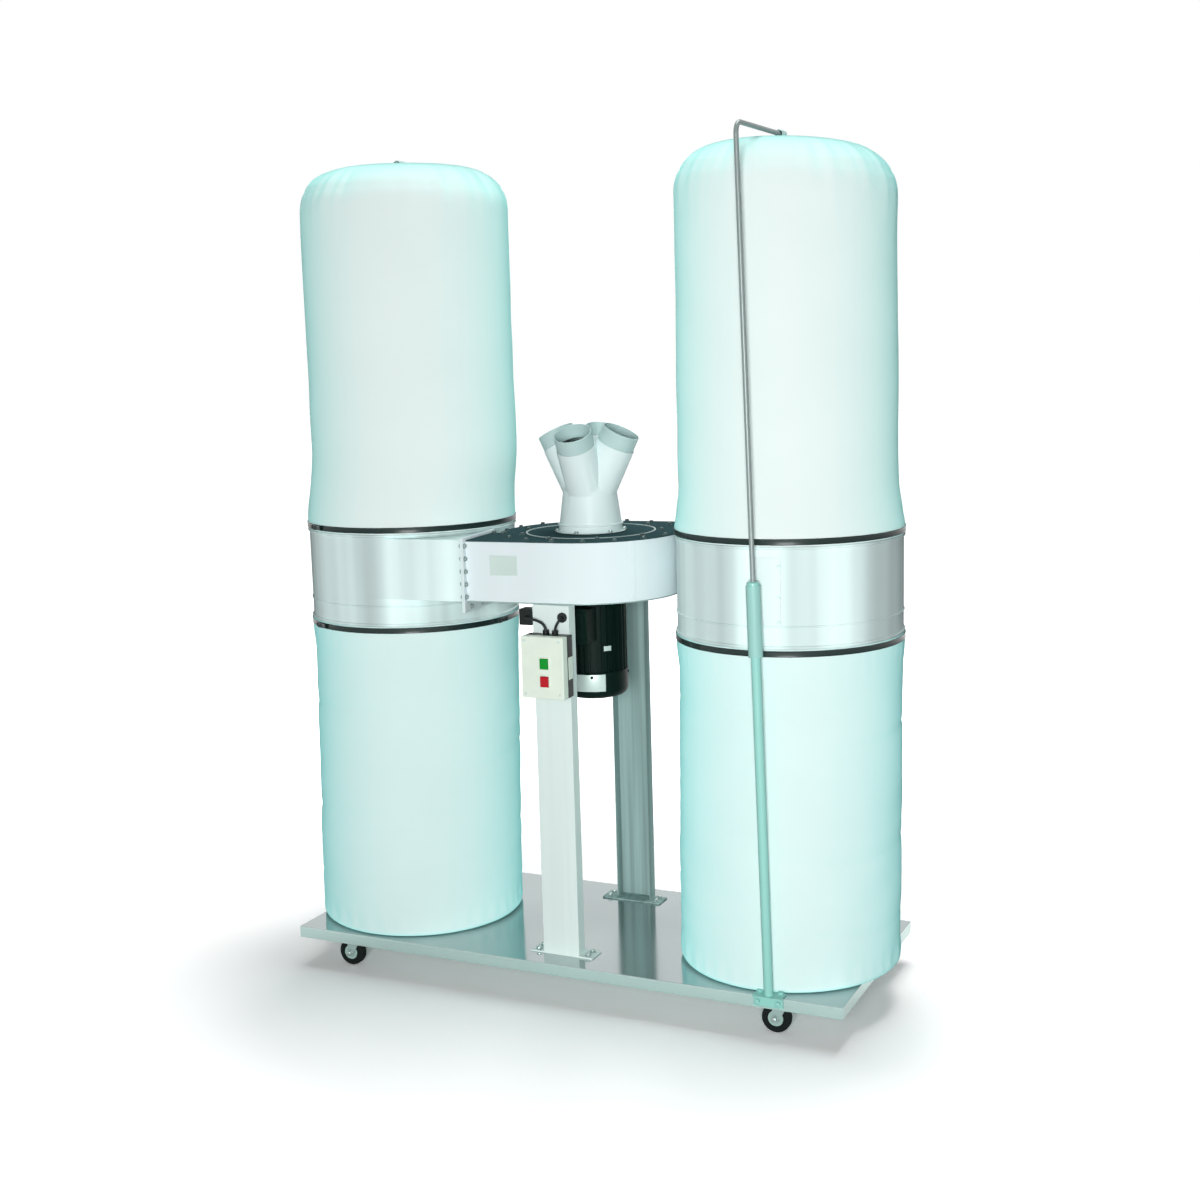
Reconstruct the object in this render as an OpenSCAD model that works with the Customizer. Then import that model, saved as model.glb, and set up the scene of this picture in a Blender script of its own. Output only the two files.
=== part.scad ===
/* [Base] */
// Length of the base plate, along the row of bags
base_l = 1580; // [1450:10:1700]
// Width of the base plate
base_w = 640; // [600:10:720]
// Depth of the folded edge all round the base plate
base_flange = 32; // [20:1:34]
// Thickness of the base sheet
base_t = 3; // [2:0.5:5]

/* [Casters] */
// Height from the floor to the underside of the base sheet
caster_h = 110; // [108:1:120]
// Radius of a caster wheel over its tyre
wheel_r = 37.5; // [35:0.5:38.5]
// Radius of the wheel's hub, inside the tyre
hub_r = 20; // [18:0.5:30]
// Width of the tyre
tyre_w = 24; // [20:1:26]
// Radius of the wheel's axle bolt
axle_r = 5; // [4:0.5:6]
// Distance that the axle trails behind the swivel axis
trail = 27; // [20:1:30]
// Distance of the swivel axis from the end of the base
caster_inset_x = 162; // [120:1:220]
// Distance of the swivel axis from the long edge of the base
caster_inset_y = 60; // [60:1:90]

/* [Posts] */
// Width of a support post
post_w = 104; // [90:1:120]
// Depth of a support post, a channel open towards the motor
post_d = 36; // [30:1:45]
// Sheet thickness of a post
post_t = 3; // [2:0.5:4]
// Distance that a post's outer face stands outside the blower's wall
post_reach = 10; // [6:1:20]
// Width of a post's foot
foot_w = 180; // [150:1:220]

/* [Blower] */
// Radius of the blower housing
blower_r = 245; // [225:1:255]
// Height of the blower housing
blower_h = 162; // [140:1:180]
// Height of the housing's underside above the base
blower_z = 939; // [900:1:980]
// Sheet thickness of the housing and ducts
blower_t = 3; // [2:0.5:4]
// Width of each duct, seen from above
duct_w = 170; // [140:1:190]
// Distance along a duct from the blower's centre to its bolted joint
duct_joint = 260; // [256:1:270]

/* [Bags] */
// Distance between the two drums, centre to centre
column_spacing = 1113; // [1090:1:1180]
// Outer radius of a drum
drum_r = 287; // [280:1:300]
// Height of a drum
drum_h = 290; // [270:1:320]
// Distance that a drum's lower edge lies below the blower's underside
drum_drop = 97; // [70:1:120]
// Sheet thickness of a drum
drum_t = 2; // [1.5:0.5:4]
// Rounding of the dust bag's lower edge
dust_bag_round = 20; // [10:5:80]
// How much narrower than the drum the filter bag is at its shoulder
filter_taper = 12; // [2:1:32]
// Height of the filter bag above the drum's upper edge
filter_bag_h = 951; // [800:1:1100]
// Height of the filter bag's domed top
dome_h = 123; // [90:1:160]
// Thickness of the cloth where it is folded into a cuff
cuff_t = 3; // [2:0.5:4]
// Height of a clamp band
band_h = 14; // [10:1:18]
// Thickness of a clamp band
band_t = 1.8; // [1:0.2:3]

/* [Inlet] */
// Radius of the inlet tube on top of the blower
inlet_r = 83; // [78:1:88]
// Radius of the inlet tube where it meets the branches
inlet_top_r = 70; // [68:1:74]
// Outer radius of a hose spigot
spigot_r = 50; // [48:0.5:51]
// Length of a spigot that a hose covers
spigot_l = 40; // [30:1:50]
// Tilt of each branch away from upright
branch_tilt = 26; // [23:1:30]
// Length of a branch from where the four axes cross to its spigot
branch_l = 181; // [165:1:200]
// Height above the blower where the four axes cross
branch_z = 68; // [60:1:80]
// Wall thickness of the inlet's tubes
inlet_t = 1.5; // [1:0.5:2.5]

/* [Motor] */
// Radius of the motor over its ribs and cowl
motor_r = 90; // [80:1:95]
// Height of the motor, from the blower down to the cowl's underside
motor_h = 282; // [260:1:320]
// Height of the fan cowl
cowl_h = 72; // [60:1:100]

/* [Switch] */
// Width of the switch box
box_w = 120; // [110:1:140]
// Height of the switch box
box_h = 160; // [140:1:180]
// Depth of the box's black back part
box_back_d = 30; // [24:1:36]
// Depth of the box's pale cover
box_cover_d = 25; // [20:1:32]
// Distance that the box's underside lies below the blower's underside
box_drop = 233; // [210:1:300]
// Width of a push button
button_w = 22; // [18:1:26]
// Height of a push button
button_h = 27; // [22:1:30]
// Travel of a push button
button_travel = 3; // [2:0.5:4]

/* [Hangers] */
// Radius of a hanger's lower tube
tube_r = 12; // [10:0.5:14]
// Radius of a hanger's upper rod
rod_r = 6; // [5:0.5:8]
// Lean of each hanger towards the middle
lean = 1.5; // [1:0.1:2]
// Radius of the sleeve that holds a hanger to its drum
sleeve_r = 18; // [16:0.5:20]
// Length of the sleeve
sleeve_l = 175; // [150:5:200]
// Distance that the sleeve's lower end lies above the drum's lower edge
sleeve_lift = 8; // [0:1:20]

/* [Hidden] */
$fn = 96;
eps = 0.01;
// Clearance between pieces that seat on each other but aren't fused
seat = 0.3;
// Radial clearance of a pin that turns in its hole
pin_play = 0.08;

// Heights above the floor
base_z = caster_h + base_t;
blower_z0 = base_z + blower_z;
blower_z1 = blower_z0 + blower_h;
drum_z0 = blower_z0 - drum_drop;
drum_z1 = drum_z0 + drum_h;

// Places of the four casters, as [x side, y side]
FRONT_LEFT = [-1, -1];
FRONT_RIGHT = [1, -1];
REAR_LEFT = [-1, 1];
REAR_RIGHT = [1, 1];
caster_x = base_l / 2 - caster_inset_x;
caster_y = base_w / 2 - caster_inset_y;
plate_l = 100;
plate_w = 84;
plate_t = 3;
race_r = 28;
race_t = 8;
crown_t = 3.7;
kingpin_r = 6;
kingpin_head_r = 9;
kingpin_head_t = 3;
crown_z1 = caster_h - plate_t - race_t - seat;
crown_z0 = crown_z1 - crown_t;
leg_t = 2.5;
leg_gap = 2;
leg_y = tyre_w / 2 + leg_gap;
leg_tip_r = 13;
hub_w = tyre_w + 2;
nut_r = 8;
nut_t = 3;

// Places of the posts
post_y = blower_r + post_reach;
foot_t = 4;
foot_d = 58;
head_t = 4;
grommet_r = 13;
grommet_x = 34;
grommet_z = blower_z0 - 30;
grommet_hole_r = grommet_r - 4;

// The ducts run along the common tangent of the blower and the drums
column_x = column_spacing / 2;
duct_turn = asin((drum_r - blower_r) / column_x);
duct_l = column_x * cos(duct_turn);
// A duct's outer wall lies this far inside the tangent, so that its welds have a clear edge
weld_step = 0.6;
duct_front = blower_r - weld_step;
duct_back = duct_front - duct_w;
joint_t = 4;
joint_side = 18;
joint_low = 27;
joint_high = 8;

// Beads that keep the clamp bands from slipping off the drums
bead_r = 4;
cuff_h = 20;
cuff_r = drum_r + seat + cuff_t;
dust_bag_r = drum_r;
filter_bag_r = drum_r - filter_taper;
upper_bead_z = drum_z1 - cuff_h - bead_r - 1;
lower_bead_z = drum_z0 + cuff_h + bead_r + 1;
seam_bead_r = 2.5;
seam_bead_z = lower_bead_z + 50;
band_r = cuff_r + 0.2;
latch_w = 44;
latch_t = 7;
filter_z1 = drum_z1 + filter_bag_h;
shoulder_z = filter_z1 - dome_h;
dome_side_power = 4.5;
dome_top_power = 2.2;

// Inlet
collar_t = 3;
collar_flange_r = inlet_r + 10;
collar_h = 24;
collar_wall = 2;
collar_bead_r = 2.5;
inlet_cone_z0 = 26;
inlet_cone_z1 = 123;
branch_r = spigot_r + inlet_t + seat;
spigot_in_r = spigot_r - inlet_t;
spigot_socket_l = 15;
spigot_neck_r = spigot_r - 0.7;
// The neck shows as a groove of this height between the branch and the part that a hose covers
spigot_groove = 3;

// Motor
motor_flange_r = motor_r + 16;
motor_flange_t = 10;
motor_core_r = motor_r - 8;
rib_count = 32;
rib_t = 3;
cowl_t = 2;
cowl_round = 22;
terminal_w = 90;
terminal_d = 44;
terminal_h = 90;
terminal_z = blower_z0 - motor_flange_t - terminal_h - 20;

// Switch box
box_wall = 3;
box_z0 = blower_z0 - box_drop;
box_back_y = -post_y;
box_split_y = box_back_y - box_back_d;
box_front_y = box_split_y - box_cover_d;
button_x = 6;
start_z = box_z0 + 91;
stop_z = box_z0 + 45;
button_play = 0.4;
button_out = 6;
button_rim = 2.5;
button_rim_t = 2;

// Hangers, on the front of the right drum and the rear of the left one
hanger_x = 600;
// Clearance between a drum and the axis of the hanger that stands beside it
hanger_gap = 31;
hanger_y = -drum_r - hanger_gap;
bracket_t = 4;
bracket_w = 76;
bracket_drop = 26;
bracket_over = 26;
bracket_lip = 6;
// Clearance between a bracket's plate and the dust bag behind it
bracket_gap = 5;
hanger_z0 = base_z + bracket_t;
arm_bend_r = 30;
arm_over = 26;
loop_t = 2.6;
loop_w = 34;
arm_z = filter_z1 + loop_t + rod_r + seat - 0.6;
arm_x = hanger_x - (arm_z - hanger_z0) * tan(lean);
strap_t = 3;
strap_z0 = seam_bead_z + seam_bead_r + 1;
strap_h = 165;
strap_reach = 52;
web_w = 22;
sleeve_z0 = drum_z0 + sleeve_lift;

// Leads
lead_r = 3.5;
lead_play = 0.7;
lead_sides = 8;
supply_w = 36;
supply_d = 38;
supply_h = 42;
supply_z = blower_z0 - 54;
gland_r = 8;
gland_h = 12;
gland_y = -272;
motor_gland_x = 20;
supply_gland_x = -6;
// The leads' routes, measured up from the top of the switch box
motor_lead_points = [
    [20, -272, 1], [20, -272, 11], [22, -272, 21], [27, -272, 30], [32, -270, 38],
    [34, -264, 42], [34, -256, 43], [34, -245, 43], [32, -225, 39], [26, -200, 23],
    [16, -175, 6], [7, -156, -5], [3, -144, -9], [3, -134.2, -9]
];
supply_lead_points = [
    [-6, -272, 1], [-6, -272, 11], [-9, -272, 21], [-18, -272, 30], [-34, -273, 36],
    [-52, -274, 39], [-62, -272, 40], [-69, -267, 40], [-70, -264, 40], [-70, -261.2, 40]
];

// Puts one of the two columns in place: the right one as drawn, the left one turned by half a turn
module half_turn(side) {
    rotate([0, 0, side > 0 ? 0 : 180]) children();
}

// Frame of a duct: origin at the blower's centre, +X along the duct, +Y out of its tangent wall.
// The left duct runs along the front and the right one along the rear.
module duct_frame(side) {
    rotate([0, 0, (side > 0 ? 0 : 180) + duct_turn]) children();
}

module duct_plan(inset, x1) {
    translate([0, duct_back + inset]) square([x1, duct_w - 2 * inset]);
}

module blower_plan(inset, x1) {
    circle(r = blower_r - inset);
    for (side = [-1, 1]) duct_frame(side) duct_plan(inset, x1);
}

module duct_passage(x0, x1) {
    translate([x0, duct_back + blower_t, blower_z0 + blower_t])
        cube([x1 - x0, duct_w - 2 * blower_t, blower_h - 2 * blower_t]);
}

module joint_lip(x0) {
    difference() {
        translate([x0, duct_back - joint_side, blower_z0 - joint_low])
            cube([joint_t, duct_w + 2 * joint_side, blower_h + joint_low + joint_high]);
        translate([x0 - 1, duct_back, blower_z0]) cube([joint_t + 2, duct_w, blower_h]);
    }
}

// Base
module base_plate() {
    color("#b6c6c4") difference() {
        translate([-base_l / 2, -base_w / 2, base_z - base_flange])
            cube([base_l, base_w, base_flange]);
        translate([-base_l / 2 + base_t, -base_w / 2 + base_t, base_z - base_flange - 1])
            cube([base_l - 2 * base_t, base_w - 2 * base_t, base_flange + 1 - base_t]);
    }
}

// A channel post with a foot flange and a head tab, drawn at the front
module post(hole) {
    difference() {
        union() {
            difference() {
                translate([-post_w / 2, -post_y, base_z])
                    cube([post_w, post_d, blower_z]);
                translate([-post_w / 2 + post_t, -post_y + post_t, base_z + foot_t])
                    cube([post_w - 2 * post_t, post_d, blower_z - foot_t - head_t]);
            }
            translate([-foot_w / 2, -post_y, base_z]) cube([foot_w, foot_d, foot_t]);
        }
        if (hole)
            translate([grommet_x, -post_y - 1, grommet_z])
                rotate([-90, 0, 0]) cylinder(r = grommet_hole_r, h = post_t + 2);
    }
}

module front_post() {
    color("#d2e6e2") post(true);
}

module rear_post() {
    color("#86a7a5") rotate([0, 0, 180]) post(false);
}

// Casters
module at_caster(place) {
    translate([place[0] * caster_x, place[1] * caster_y, 0]) children();
}

module caster_plate() {
    translate([-plate_l / 2, -plate_w / 2, caster_h - plate_t])
        cube([plate_l, plate_w, plate_t]);
    translate([0, 0, crown_z1 + seat]) cylinder(r = race_r, h = race_t);
    translate([0, 0, crown_z0 - seat]) cylinder(r = kingpin_r, h = crown_t + 3 * seat);
    translate([0, 0, crown_z0 - seat - kingpin_head_t])
        cylinder(r = kingpin_head_r, h = kingpin_head_t);
}

module caster_plates() {
    color("#9fb3b1")
        for (place = [FRONT_LEFT, FRONT_RIGHT, REAR_LEFT, REAR_RIGHT])
            at_caster(place) caster_plate();
}

module fork_leg() {
    rotate([90, 0, 0]) linear_extrude(leg_t, center = true) {
        polygon([
            [-race_r + 5, crown_z1], [race_r - 10, crown_z1],
            [-trail + leg_tip_r, wheel_r + 2], [-trail - leg_tip_r, wheel_r + 2]
        ]);
        translate([-trail, wheel_r]) circle(r = leg_tip_r);
    }
}

module fork() {
    difference() {
        translate([0, 0, crown_z0]) cylinder(r = race_r, h = crown_t);
        translate([0, 0, crown_z0 - 1]) cylinder(r = kingpin_r + pin_play, h = crown_t + 2);
    }
    for (side = [-1, 1]) translate([0, side * (leg_y + leg_t / 2), 0]) fork_leg();
    translate([-trail, 0, wheel_r]) rotate([90, 0, 0]) {
        cylinder(r = axle_r, h = 2 * (leg_y + leg_t), center = true);
        for (side = [-1, 1])
            translate([0, 0, side * (leg_y + leg_t + nut_t / 2)])
                cylinder(r = nut_r, h = nut_t, center = true);
    }
}

module hub() {
    translate([-trail, 0, wheel_r]) rotate([90, 0, 0]) difference() {
        union() {
            cylinder(r = hub_r, h = tyre_w, center = true);
            cylinder(r = axle_r + 6, h = hub_w, center = true);
        }
        cylinder(r = axle_r + pin_play, h = hub_w + 2, center = true);
    }
}

module tyre() {
    shoulder = 3;
    translate([-trail, 0, wheel_r]) rotate([90, 0, 0]) rotate_extrude()
        polygon([
            [hub_r, -tyre_w / 2], [wheel_r - shoulder, -tyre_w / 2],
            [wheel_r, -tyre_w / 2 + shoulder], [wheel_r, tyre_w / 2 - shoulder],
            [wheel_r - shoulder, tyre_w / 2], [hub_r, tyre_w / 2]
        ]);
}

module fork_at(place) {
    color("#c3d2cf") at_caster(place) fork();
}

module hub_at(place) {
    color("#a9bdb8") at_caster(place) hub();
}

module tyre_at(place) {
    color("#2e3a36") at_caster(place) tyre();
}

// Blower
module blower_wall() {
    color("#d5ebe8") {
        translate([0, 0, blower_z0 + blower_t]) linear_extrude(blower_h - 2 * blower_t)
            difference() {
                blower_plan(0, duct_joint);
                blower_plan(blower_t, duct_joint + 1);
            }
        for (side = [-1, 1]) duct_frame(side) joint_lip(duct_joint - joint_t);
    }
}

module blower_floor() {
    color("#8fa8a5") translate([0, 0, blower_z0]) linear_extrude(blower_t)
        blower_plan(0, duct_joint - joint_t);
}

module blower_cover() {
    color("#3a4c4f") translate([0, 0, blower_z1 - blower_t]) linear_extrude(blower_t)
        difference() {
            blower_plan(0, duct_joint - joint_t);
            circle(r = inlet_r - inlet_t);
        }
}

// Inlet
module inlet_collar() {
    color("#dfeeec") translate([0, 0, blower_z1]) rotate_extrude() {
        difference() {
            union() {
                translate([inlet_r + seat, 0]) square([collar_flange_r - inlet_r - seat, collar_t]);
                translate([inlet_r + seat, 0]) square([collar_wall, collar_h]);
                translate([inlet_r + seat + collar_wall, collar_h - collar_bead_r])
                    circle(r = collar_bead_r, $fn = 24);
            }
            translate([0, -1]) square([inlet_r + seat, collar_h + 2]);
        }
    }
}

module branch_frame(turn) {
    translate([0, 0, blower_z1 + branch_z]) rotate([0, 0, turn]) rotate([0, branch_tilt, 0])
        children();
}

module inlet_form(inset, reach) {
    translate([0, 0, blower_z1 + seat - reach])
        cylinder(r = inlet_r - inset, h = inlet_cone_z0 - seat + reach);
    translate([0, 0, blower_z1 + inlet_cone_z0 - eps])
        cylinder(r1 = inlet_r - inset, r2 = inlet_top_r - inset,
                 h = inlet_cone_z1 - inlet_cone_z0 - inset);
    for (turn = [0 : 90 : 270])
        branch_frame(turn) cylinder(r = branch_r - inset, h = branch_l + reach);
}

module inlet_manifold() {
    color("#dcefed") difference() {
        inlet_form(0, 0);
        inlet_form(inlet_t, 1);
    }
}

module spigot(turn) {
    color("#b4d2cf") branch_frame(turn) difference() {
        union() {
            translate([0, 0, branch_l + spigot_groove])
                cylinder(r = spigot_r, h = spigot_l - spigot_groove);
            translate([0, 0, branch_l - spigot_socket_l])
                cylinder(r = spigot_neck_r, h = spigot_socket_l + spigot_groove + 1);
        }
        translate([0, 0, branch_l - spigot_socket_l - 1])
            cylinder(r = spigot_in_r, h = spigot_socket_l + spigot_l + 2);
    }
}

// Drums
module drum_ring() {
    rotate_extrude() difference() {
        union() {
            translate([drum_r - drum_t, drum_z0]) square([drum_t, drum_h]);
            for (z = [upper_bead_z, lower_bead_z])
                translate([drum_r, z]) circle(r = bead_r, $fn = 32);
            translate([drum_r, seam_bead_z]) circle(r = seam_bead_r, $fn = 32);
        }
        translate([0, drum_z0 - 1]) square([drum_r - drum_t, drum_h + 2]);
    }
}

module drum(side) {
    color("#c4dcda") difference() {
        union() {
            translate([side * column_x, 0, 0]) drum_ring();
            duct_frame(side) {
                translate([duct_joint, duct_back, blower_z0])
                    cube([duct_l - duct_joint, duct_w, blower_h]);
                joint_lip(duct_joint);
            }
        }
        duct_frame(side) duct_passage(duct_joint - 1, duct_l);
        translate([side * column_x, 0, drum_z0 - 1]) cylinder(r = drum_r - drum_t, h = drum_h + 2);
    }
}

// Bags
dome_steps = 9;
dome_points = [
    for (i = [0 : dome_steps])
        let (t = 90 * i / dome_steps)
        [filter_bag_r * pow(cos(t), 2 / dome_side_power),
         shoulder_z + dome_h * pow(sin(t), 2 / dome_top_power)]
];

module filter_bag(side) {
    color("#d9f2ef") {
        translate([side * column_x, 0, 0]) rotate_extrude() difference() {
            polygon(concat(
                [[0, drum_z1 + seat], [0, drum_z1 - cuff_h], [cuff_r, drum_z1 - cuff_h],
                 [cuff_r, drum_z1 + seat + cuff_t], [filter_bag_r + 10, drum_z1 + 90]],
                dome_points
            ));
            translate([0, drum_z1 - cuff_h - 1]) square([drum_r + seat, cuff_h + 1 + seat]);
        }
        half_turn(side) translate([arm_x, 0, arm_z]) rotate([90, 0, 0]) difference() {
            union() {
                cylinder(r = rod_r + seat + loop_t, h = loop_w, center = true);
                translate([-rod_r, -rod_r - loop_t - 3, -loop_w / 2]) cube([2 * rod_r, 6, loop_w]);
            }
            cylinder(r = rod_r + seat, h = loop_w + 2, center = true);
        }
    }
}

module dust_bag(side) {
    round_points = [
        for (t = [0 : 15 : 90])
            [dust_bag_r - dust_bag_round * (1 - sin(t)),
             base_z + seat + dust_bag_round * (1 - cos(t))]
    ];
    color("#cfeeec") translate([side * column_x, 0, 0]) rotate_extrude() difference() {
        polygon(concat(
            [[0, base_z + seat]],
            round_points,
            [[dust_bag_r, drum_z0 - 60], [cuff_r, drum_z0 - 10], [cuff_r, drum_z0 + cuff_h],
             [0, drum_z0 + cuff_h]]
        ));
        translate([0, drum_z0 - seat]) square([drum_r + seat, cuff_h + 1 + seat]);
    }
}

module clamp_band(z, turn) {
    difference() {
        translate([0, 0, z - band_h / 2]) cylinder(r = band_r + band_t, h = band_h);
        translate([0, 0, z - band_h / 2 - 1]) cylinder(r = band_r, h = band_h + 2);
    }
    rotate([0, 0, turn]) translate([band_r + band_t - 0.5, -latch_w / 2, z - band_h / 2])
        cube([latch_t, latch_w, band_h]);
}

module upper_clamps() {
    color("#2c3f3d") for (side = [-1, 1])
        half_turn(side) translate([column_x, 0, 0]) clamp_band(drum_z1 - cuff_h / 2, 60);
}

module lower_clamps() {
    color("#2c3f3d") for (side = [-1, 1])
        half_turn(side) translate([column_x, 0, 0]) clamp_band(drum_z0 + cuff_h / 2, 60);
}

// Hangers, drawn at the front of the right drum
module hanger_frame(side) {
    half_turn(side) translate([hanger_x, hanger_y, hanger_z0]) rotate([0, -lean, 0]) children();
}

module hanger_bracket() {
    front_y = -base_w / 2 - bracket_t;
    plate_y0 = min(front_y, hanger_y - tube_r - bracket_lip);
    over_y = min(front_y + bracket_t + bracket_over, -drum_r - bracket_gap);
    plate_y1 = max(front_y + bracket_t, over_y, hanger_y + tube_r + bracket_lip);
    translate([hanger_x - bracket_w / 2, plate_y0, base_z])
        cube([bracket_w, plate_y1 - plate_y0, bracket_t]);
    translate([hanger_x - bracket_w / 2, front_y, base_z - bracket_drop])
        cube([bracket_w, bracket_t, bracket_drop + bracket_t]);
}

module hanger_brackets() {
    color("#b5d3cf") for (side = [-1, 1]) half_turn(side) hanger_bracket();
}

tube_l = (sleeve_z0 + sleeve_l - hanger_z0) / cos(lean);
rod_l = (arm_z - arm_bend_r - hanger_z0) / cos(lean);
rod_socket_l = 120;

module hanger_tubes() {
    color("#a9d8d1") for (side = [-1, 1]) half_turn(side) difference() {
        translate([hanger_x, hanger_y, hanger_z0]) rotate([0, -lean, 0])
            translate([0, 0, -5]) difference() {
                cylinder(r = tube_r, h = tube_l + 5);
                translate([0, 0, tube_l + 5 - rod_socket_l])
                    cylinder(r = rod_r + seat, h = rod_socket_l + 1);
            }
        translate([hanger_x - bracket_w / 2, hanger_y - bracket_w / 2, hanger_z0 - 20])
            cube([bracket_w, bracket_w, 20]);
    }
}

module hanger_rods() {
    color("#b1c7c4") for (side = [-1, 1]) hanger_frame(side) {
        translate([0, 0, tube_l - rod_socket_l + seat])
            cylinder(r = rod_r, h = rod_l - tube_l + rod_socket_l - seat);
        translate([0, arm_bend_r, rod_l]) rotate([0, -90, 0]) rotate([0, 0, -90])
            rotate_extrude(angle = 90) translate([arm_bend_r, 0]) circle(r = rod_r, $fn = 32);
        translate([0, arm_bend_r, rod_l + arm_bend_r]) rotate([-90, 0, 0])
            cylinder(r = rod_r, h = -hanger_y - arm_bend_r + arm_over);
    }
}

module hanger_sleeve() {
    strap_x = hanger_x - (strap_z0 - hanger_z0) * tan(lean);
    difference() {
        union() {
            translate([hanger_x, hanger_y, hanger_z0]) rotate([0, -lean, 0])
                translate([0, 0, (sleeve_z0 - hanger_z0) / cos(lean)])
                    cylinder(r = sleeve_r, h = sleeve_l - 2);
            intersection() {
                translate([column_x, 0, strap_z0]) cylinder(r = drum_r + seat + strap_t, h = strap_h);
                translate([strap_x - sleeve_r, hanger_y, strap_z0])
                    cube([strap_reach + sleeve_r, hanger_gap + strap_reach, strap_h]);
            }
            translate([strap_x - 14, hanger_y, strap_z0])
                cube([web_w, hanger_gap + web_w, strap_h - 60]);
        }
        translate([column_x, 0, base_z]) cylinder(r = drum_r + seat, h = drum_z1 - base_z);
        translate([hanger_x, hanger_y, hanger_z0]) rotate([0, -lean, 0])
            cylinder(r = tube_r + seat, h = tube_l + 50);
    }
}

module hanger_sleeves() {
    color("#a8dbd3") for (side = [-1, 1]) half_turn(side) hanger_sleeve();
}

// Motor
module motor_body() {
    body_z0 = blower_z0 - motor_h + cowl_h;
    color("#15251f") {
        translate([0, 0, blower_z0 - motor_flange_t])
            cylinder(r = motor_flange_r, h = motor_flange_t);
        translate([0, 0, body_z0]) cylinder(r = motor_core_r, h = blower_z0 - body_z0);
        for (i = [0 : rib_count - 1]) rotate([0, 0, (i + 0.5) * 360 / rib_count])
            translate([0, -rib_t / 2, body_z0])
                cube([motor_r - 1, rib_t, blower_z0 - body_z0 - motor_flange_t - 12]);
    }
}

module motor_cowl() {
    cowl_z0 = blower_z0 - motor_h;
    color("#121c19") translate([0, 0, cowl_z0]) rotate_extrude() difference() {
        union() {
            square([motor_r - cowl_round, cowl_h]);
            translate([0, cowl_round]) square([motor_r, cowl_h - cowl_round - 0.2]);
            translate([motor_r - cowl_round, cowl_round]) circle(r = cowl_round);
        }
        translate([0, cowl_round]) square([motor_r - cowl_t, cowl_h]);
        translate([-motor_r, -1]) square([motor_r, cowl_h + 2]);
    }
}

module terminal_box() {
    color("#1b2a26") difference() {
        translate([-terminal_w / 2, -motor_r - terminal_d, terminal_z])
            cube([terminal_w, terminal_d + motor_r / 2, terminal_h]);
        translate([0, 0, terminal_z - 1]) cylinder(r = motor_r - 0.9 + seat, h = terminal_h + 2);
    }
}

// Switch
module switch_back() {
    color("#18211f") difference() {
        translate([-box_w / 2, box_split_y, box_z0]) cube([box_w, box_back_d, box_h]);
        translate([-box_w / 2 + box_wall, box_split_y - 1, box_z0 + box_wall])
            cube([box_w - 2 * box_wall, box_back_d + 1 - box_wall, box_h - 2 * box_wall]);
    }
}

module button_hole(z) {
    translate([button_x - button_w / 2 - button_play, box_front_y - 1, z - button_h / 2 - button_play])
        cube([button_w + 2 * button_play, box_wall + 2, button_h + 2 * button_play]);
}

module switch_cover() {
    color("#d8efe3") difference() {
        translate([-box_w / 2, box_front_y, box_z0]) cube([box_w, box_cover_d, box_h]);
        translate([-box_w / 2 + box_wall, box_front_y + box_wall, box_z0 + box_wall])
            cube([box_w - 2 * box_wall, box_cover_d, box_h - 2 * box_wall]);
        button_hole(start_z);
        button_hole(stop_z);
    }
}

// A button is kept in by a rim behind the cover and pressed inwards, along +Y
module button(z) {
    rim_y = box_front_y + box_wall + seat;
    translate([button_x - button_w / 2, box_front_y - button_out, z - button_h / 2])
        cube([button_w, rim_y + button_rim_t - box_front_y + button_out, button_h]);
    translate([button_x - button_w / 2 - button_rim, rim_y, z - button_h / 2 - button_rim])
        cube([button_w + 2 * button_rim, button_rim_t, button_h + 2 * button_rim]);
}

module start_button() {
    color("#1e8e38") button(start_z);
}

module stop_button() {
    color("#ac2b32") button(stop_z);
}

// Leads and what they pass through
module post_grommet() {
    color("#101614") translate([grommet_x, -post_y, grommet_z]) rotate([-90, 0, 0]) difference() {
        union() {
            translate([0, 0, -5]) cylinder(r = grommet_r, h = 5);
            translate([0, 0, -1]) cylinder(r = grommet_hole_r - 0.2, h = post_t + 3);
        }
        translate([0, 0, -6]) cylinder(r = lead_r + lead_play, h = post_t + 12);
    }
}

module supply_inlet() {
    color("#0f1614") translate([-post_w / 2 - supply_w, -post_y - 6, supply_z])
        cube([supply_w, supply_d, supply_h]);
}

module cable_glands() {
    color("#101614") for (x = [motor_gland_x, supply_gland_x])
        translate([x, gland_y, box_z0 + box_h]) difference() {
            cylinder(r = gland_r, h = gland_h);
            translate([0, 0, -1]) cylinder(r = lead_r + seat, h = gland_h + 2);
        }
}

function unit(v) = v / norm(v);
function tangent(points, i) = unit(points[min(i + 1, len(points) - 1)] - points[max(i - 1, 0)]);
// Carries a sideways direction along the route, so that the tube doesn't twist
function sideways(points, i) =
    let (along = tangent(points, i),
         before = i == 0 ? [1, 0, 0] : sideways(points, i - 1))
    unit(before - (before * along) * along);
function ring_at(points, i) =
    let (across = sideways(points, i), third = cross(tangent(points, i), across))
    [for (k = [0 : lead_sides - 1])
        points[i] + lead_r * (across * cos(360 * k / lead_sides) - third * sin(360 * k / lead_sides))];

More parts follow.
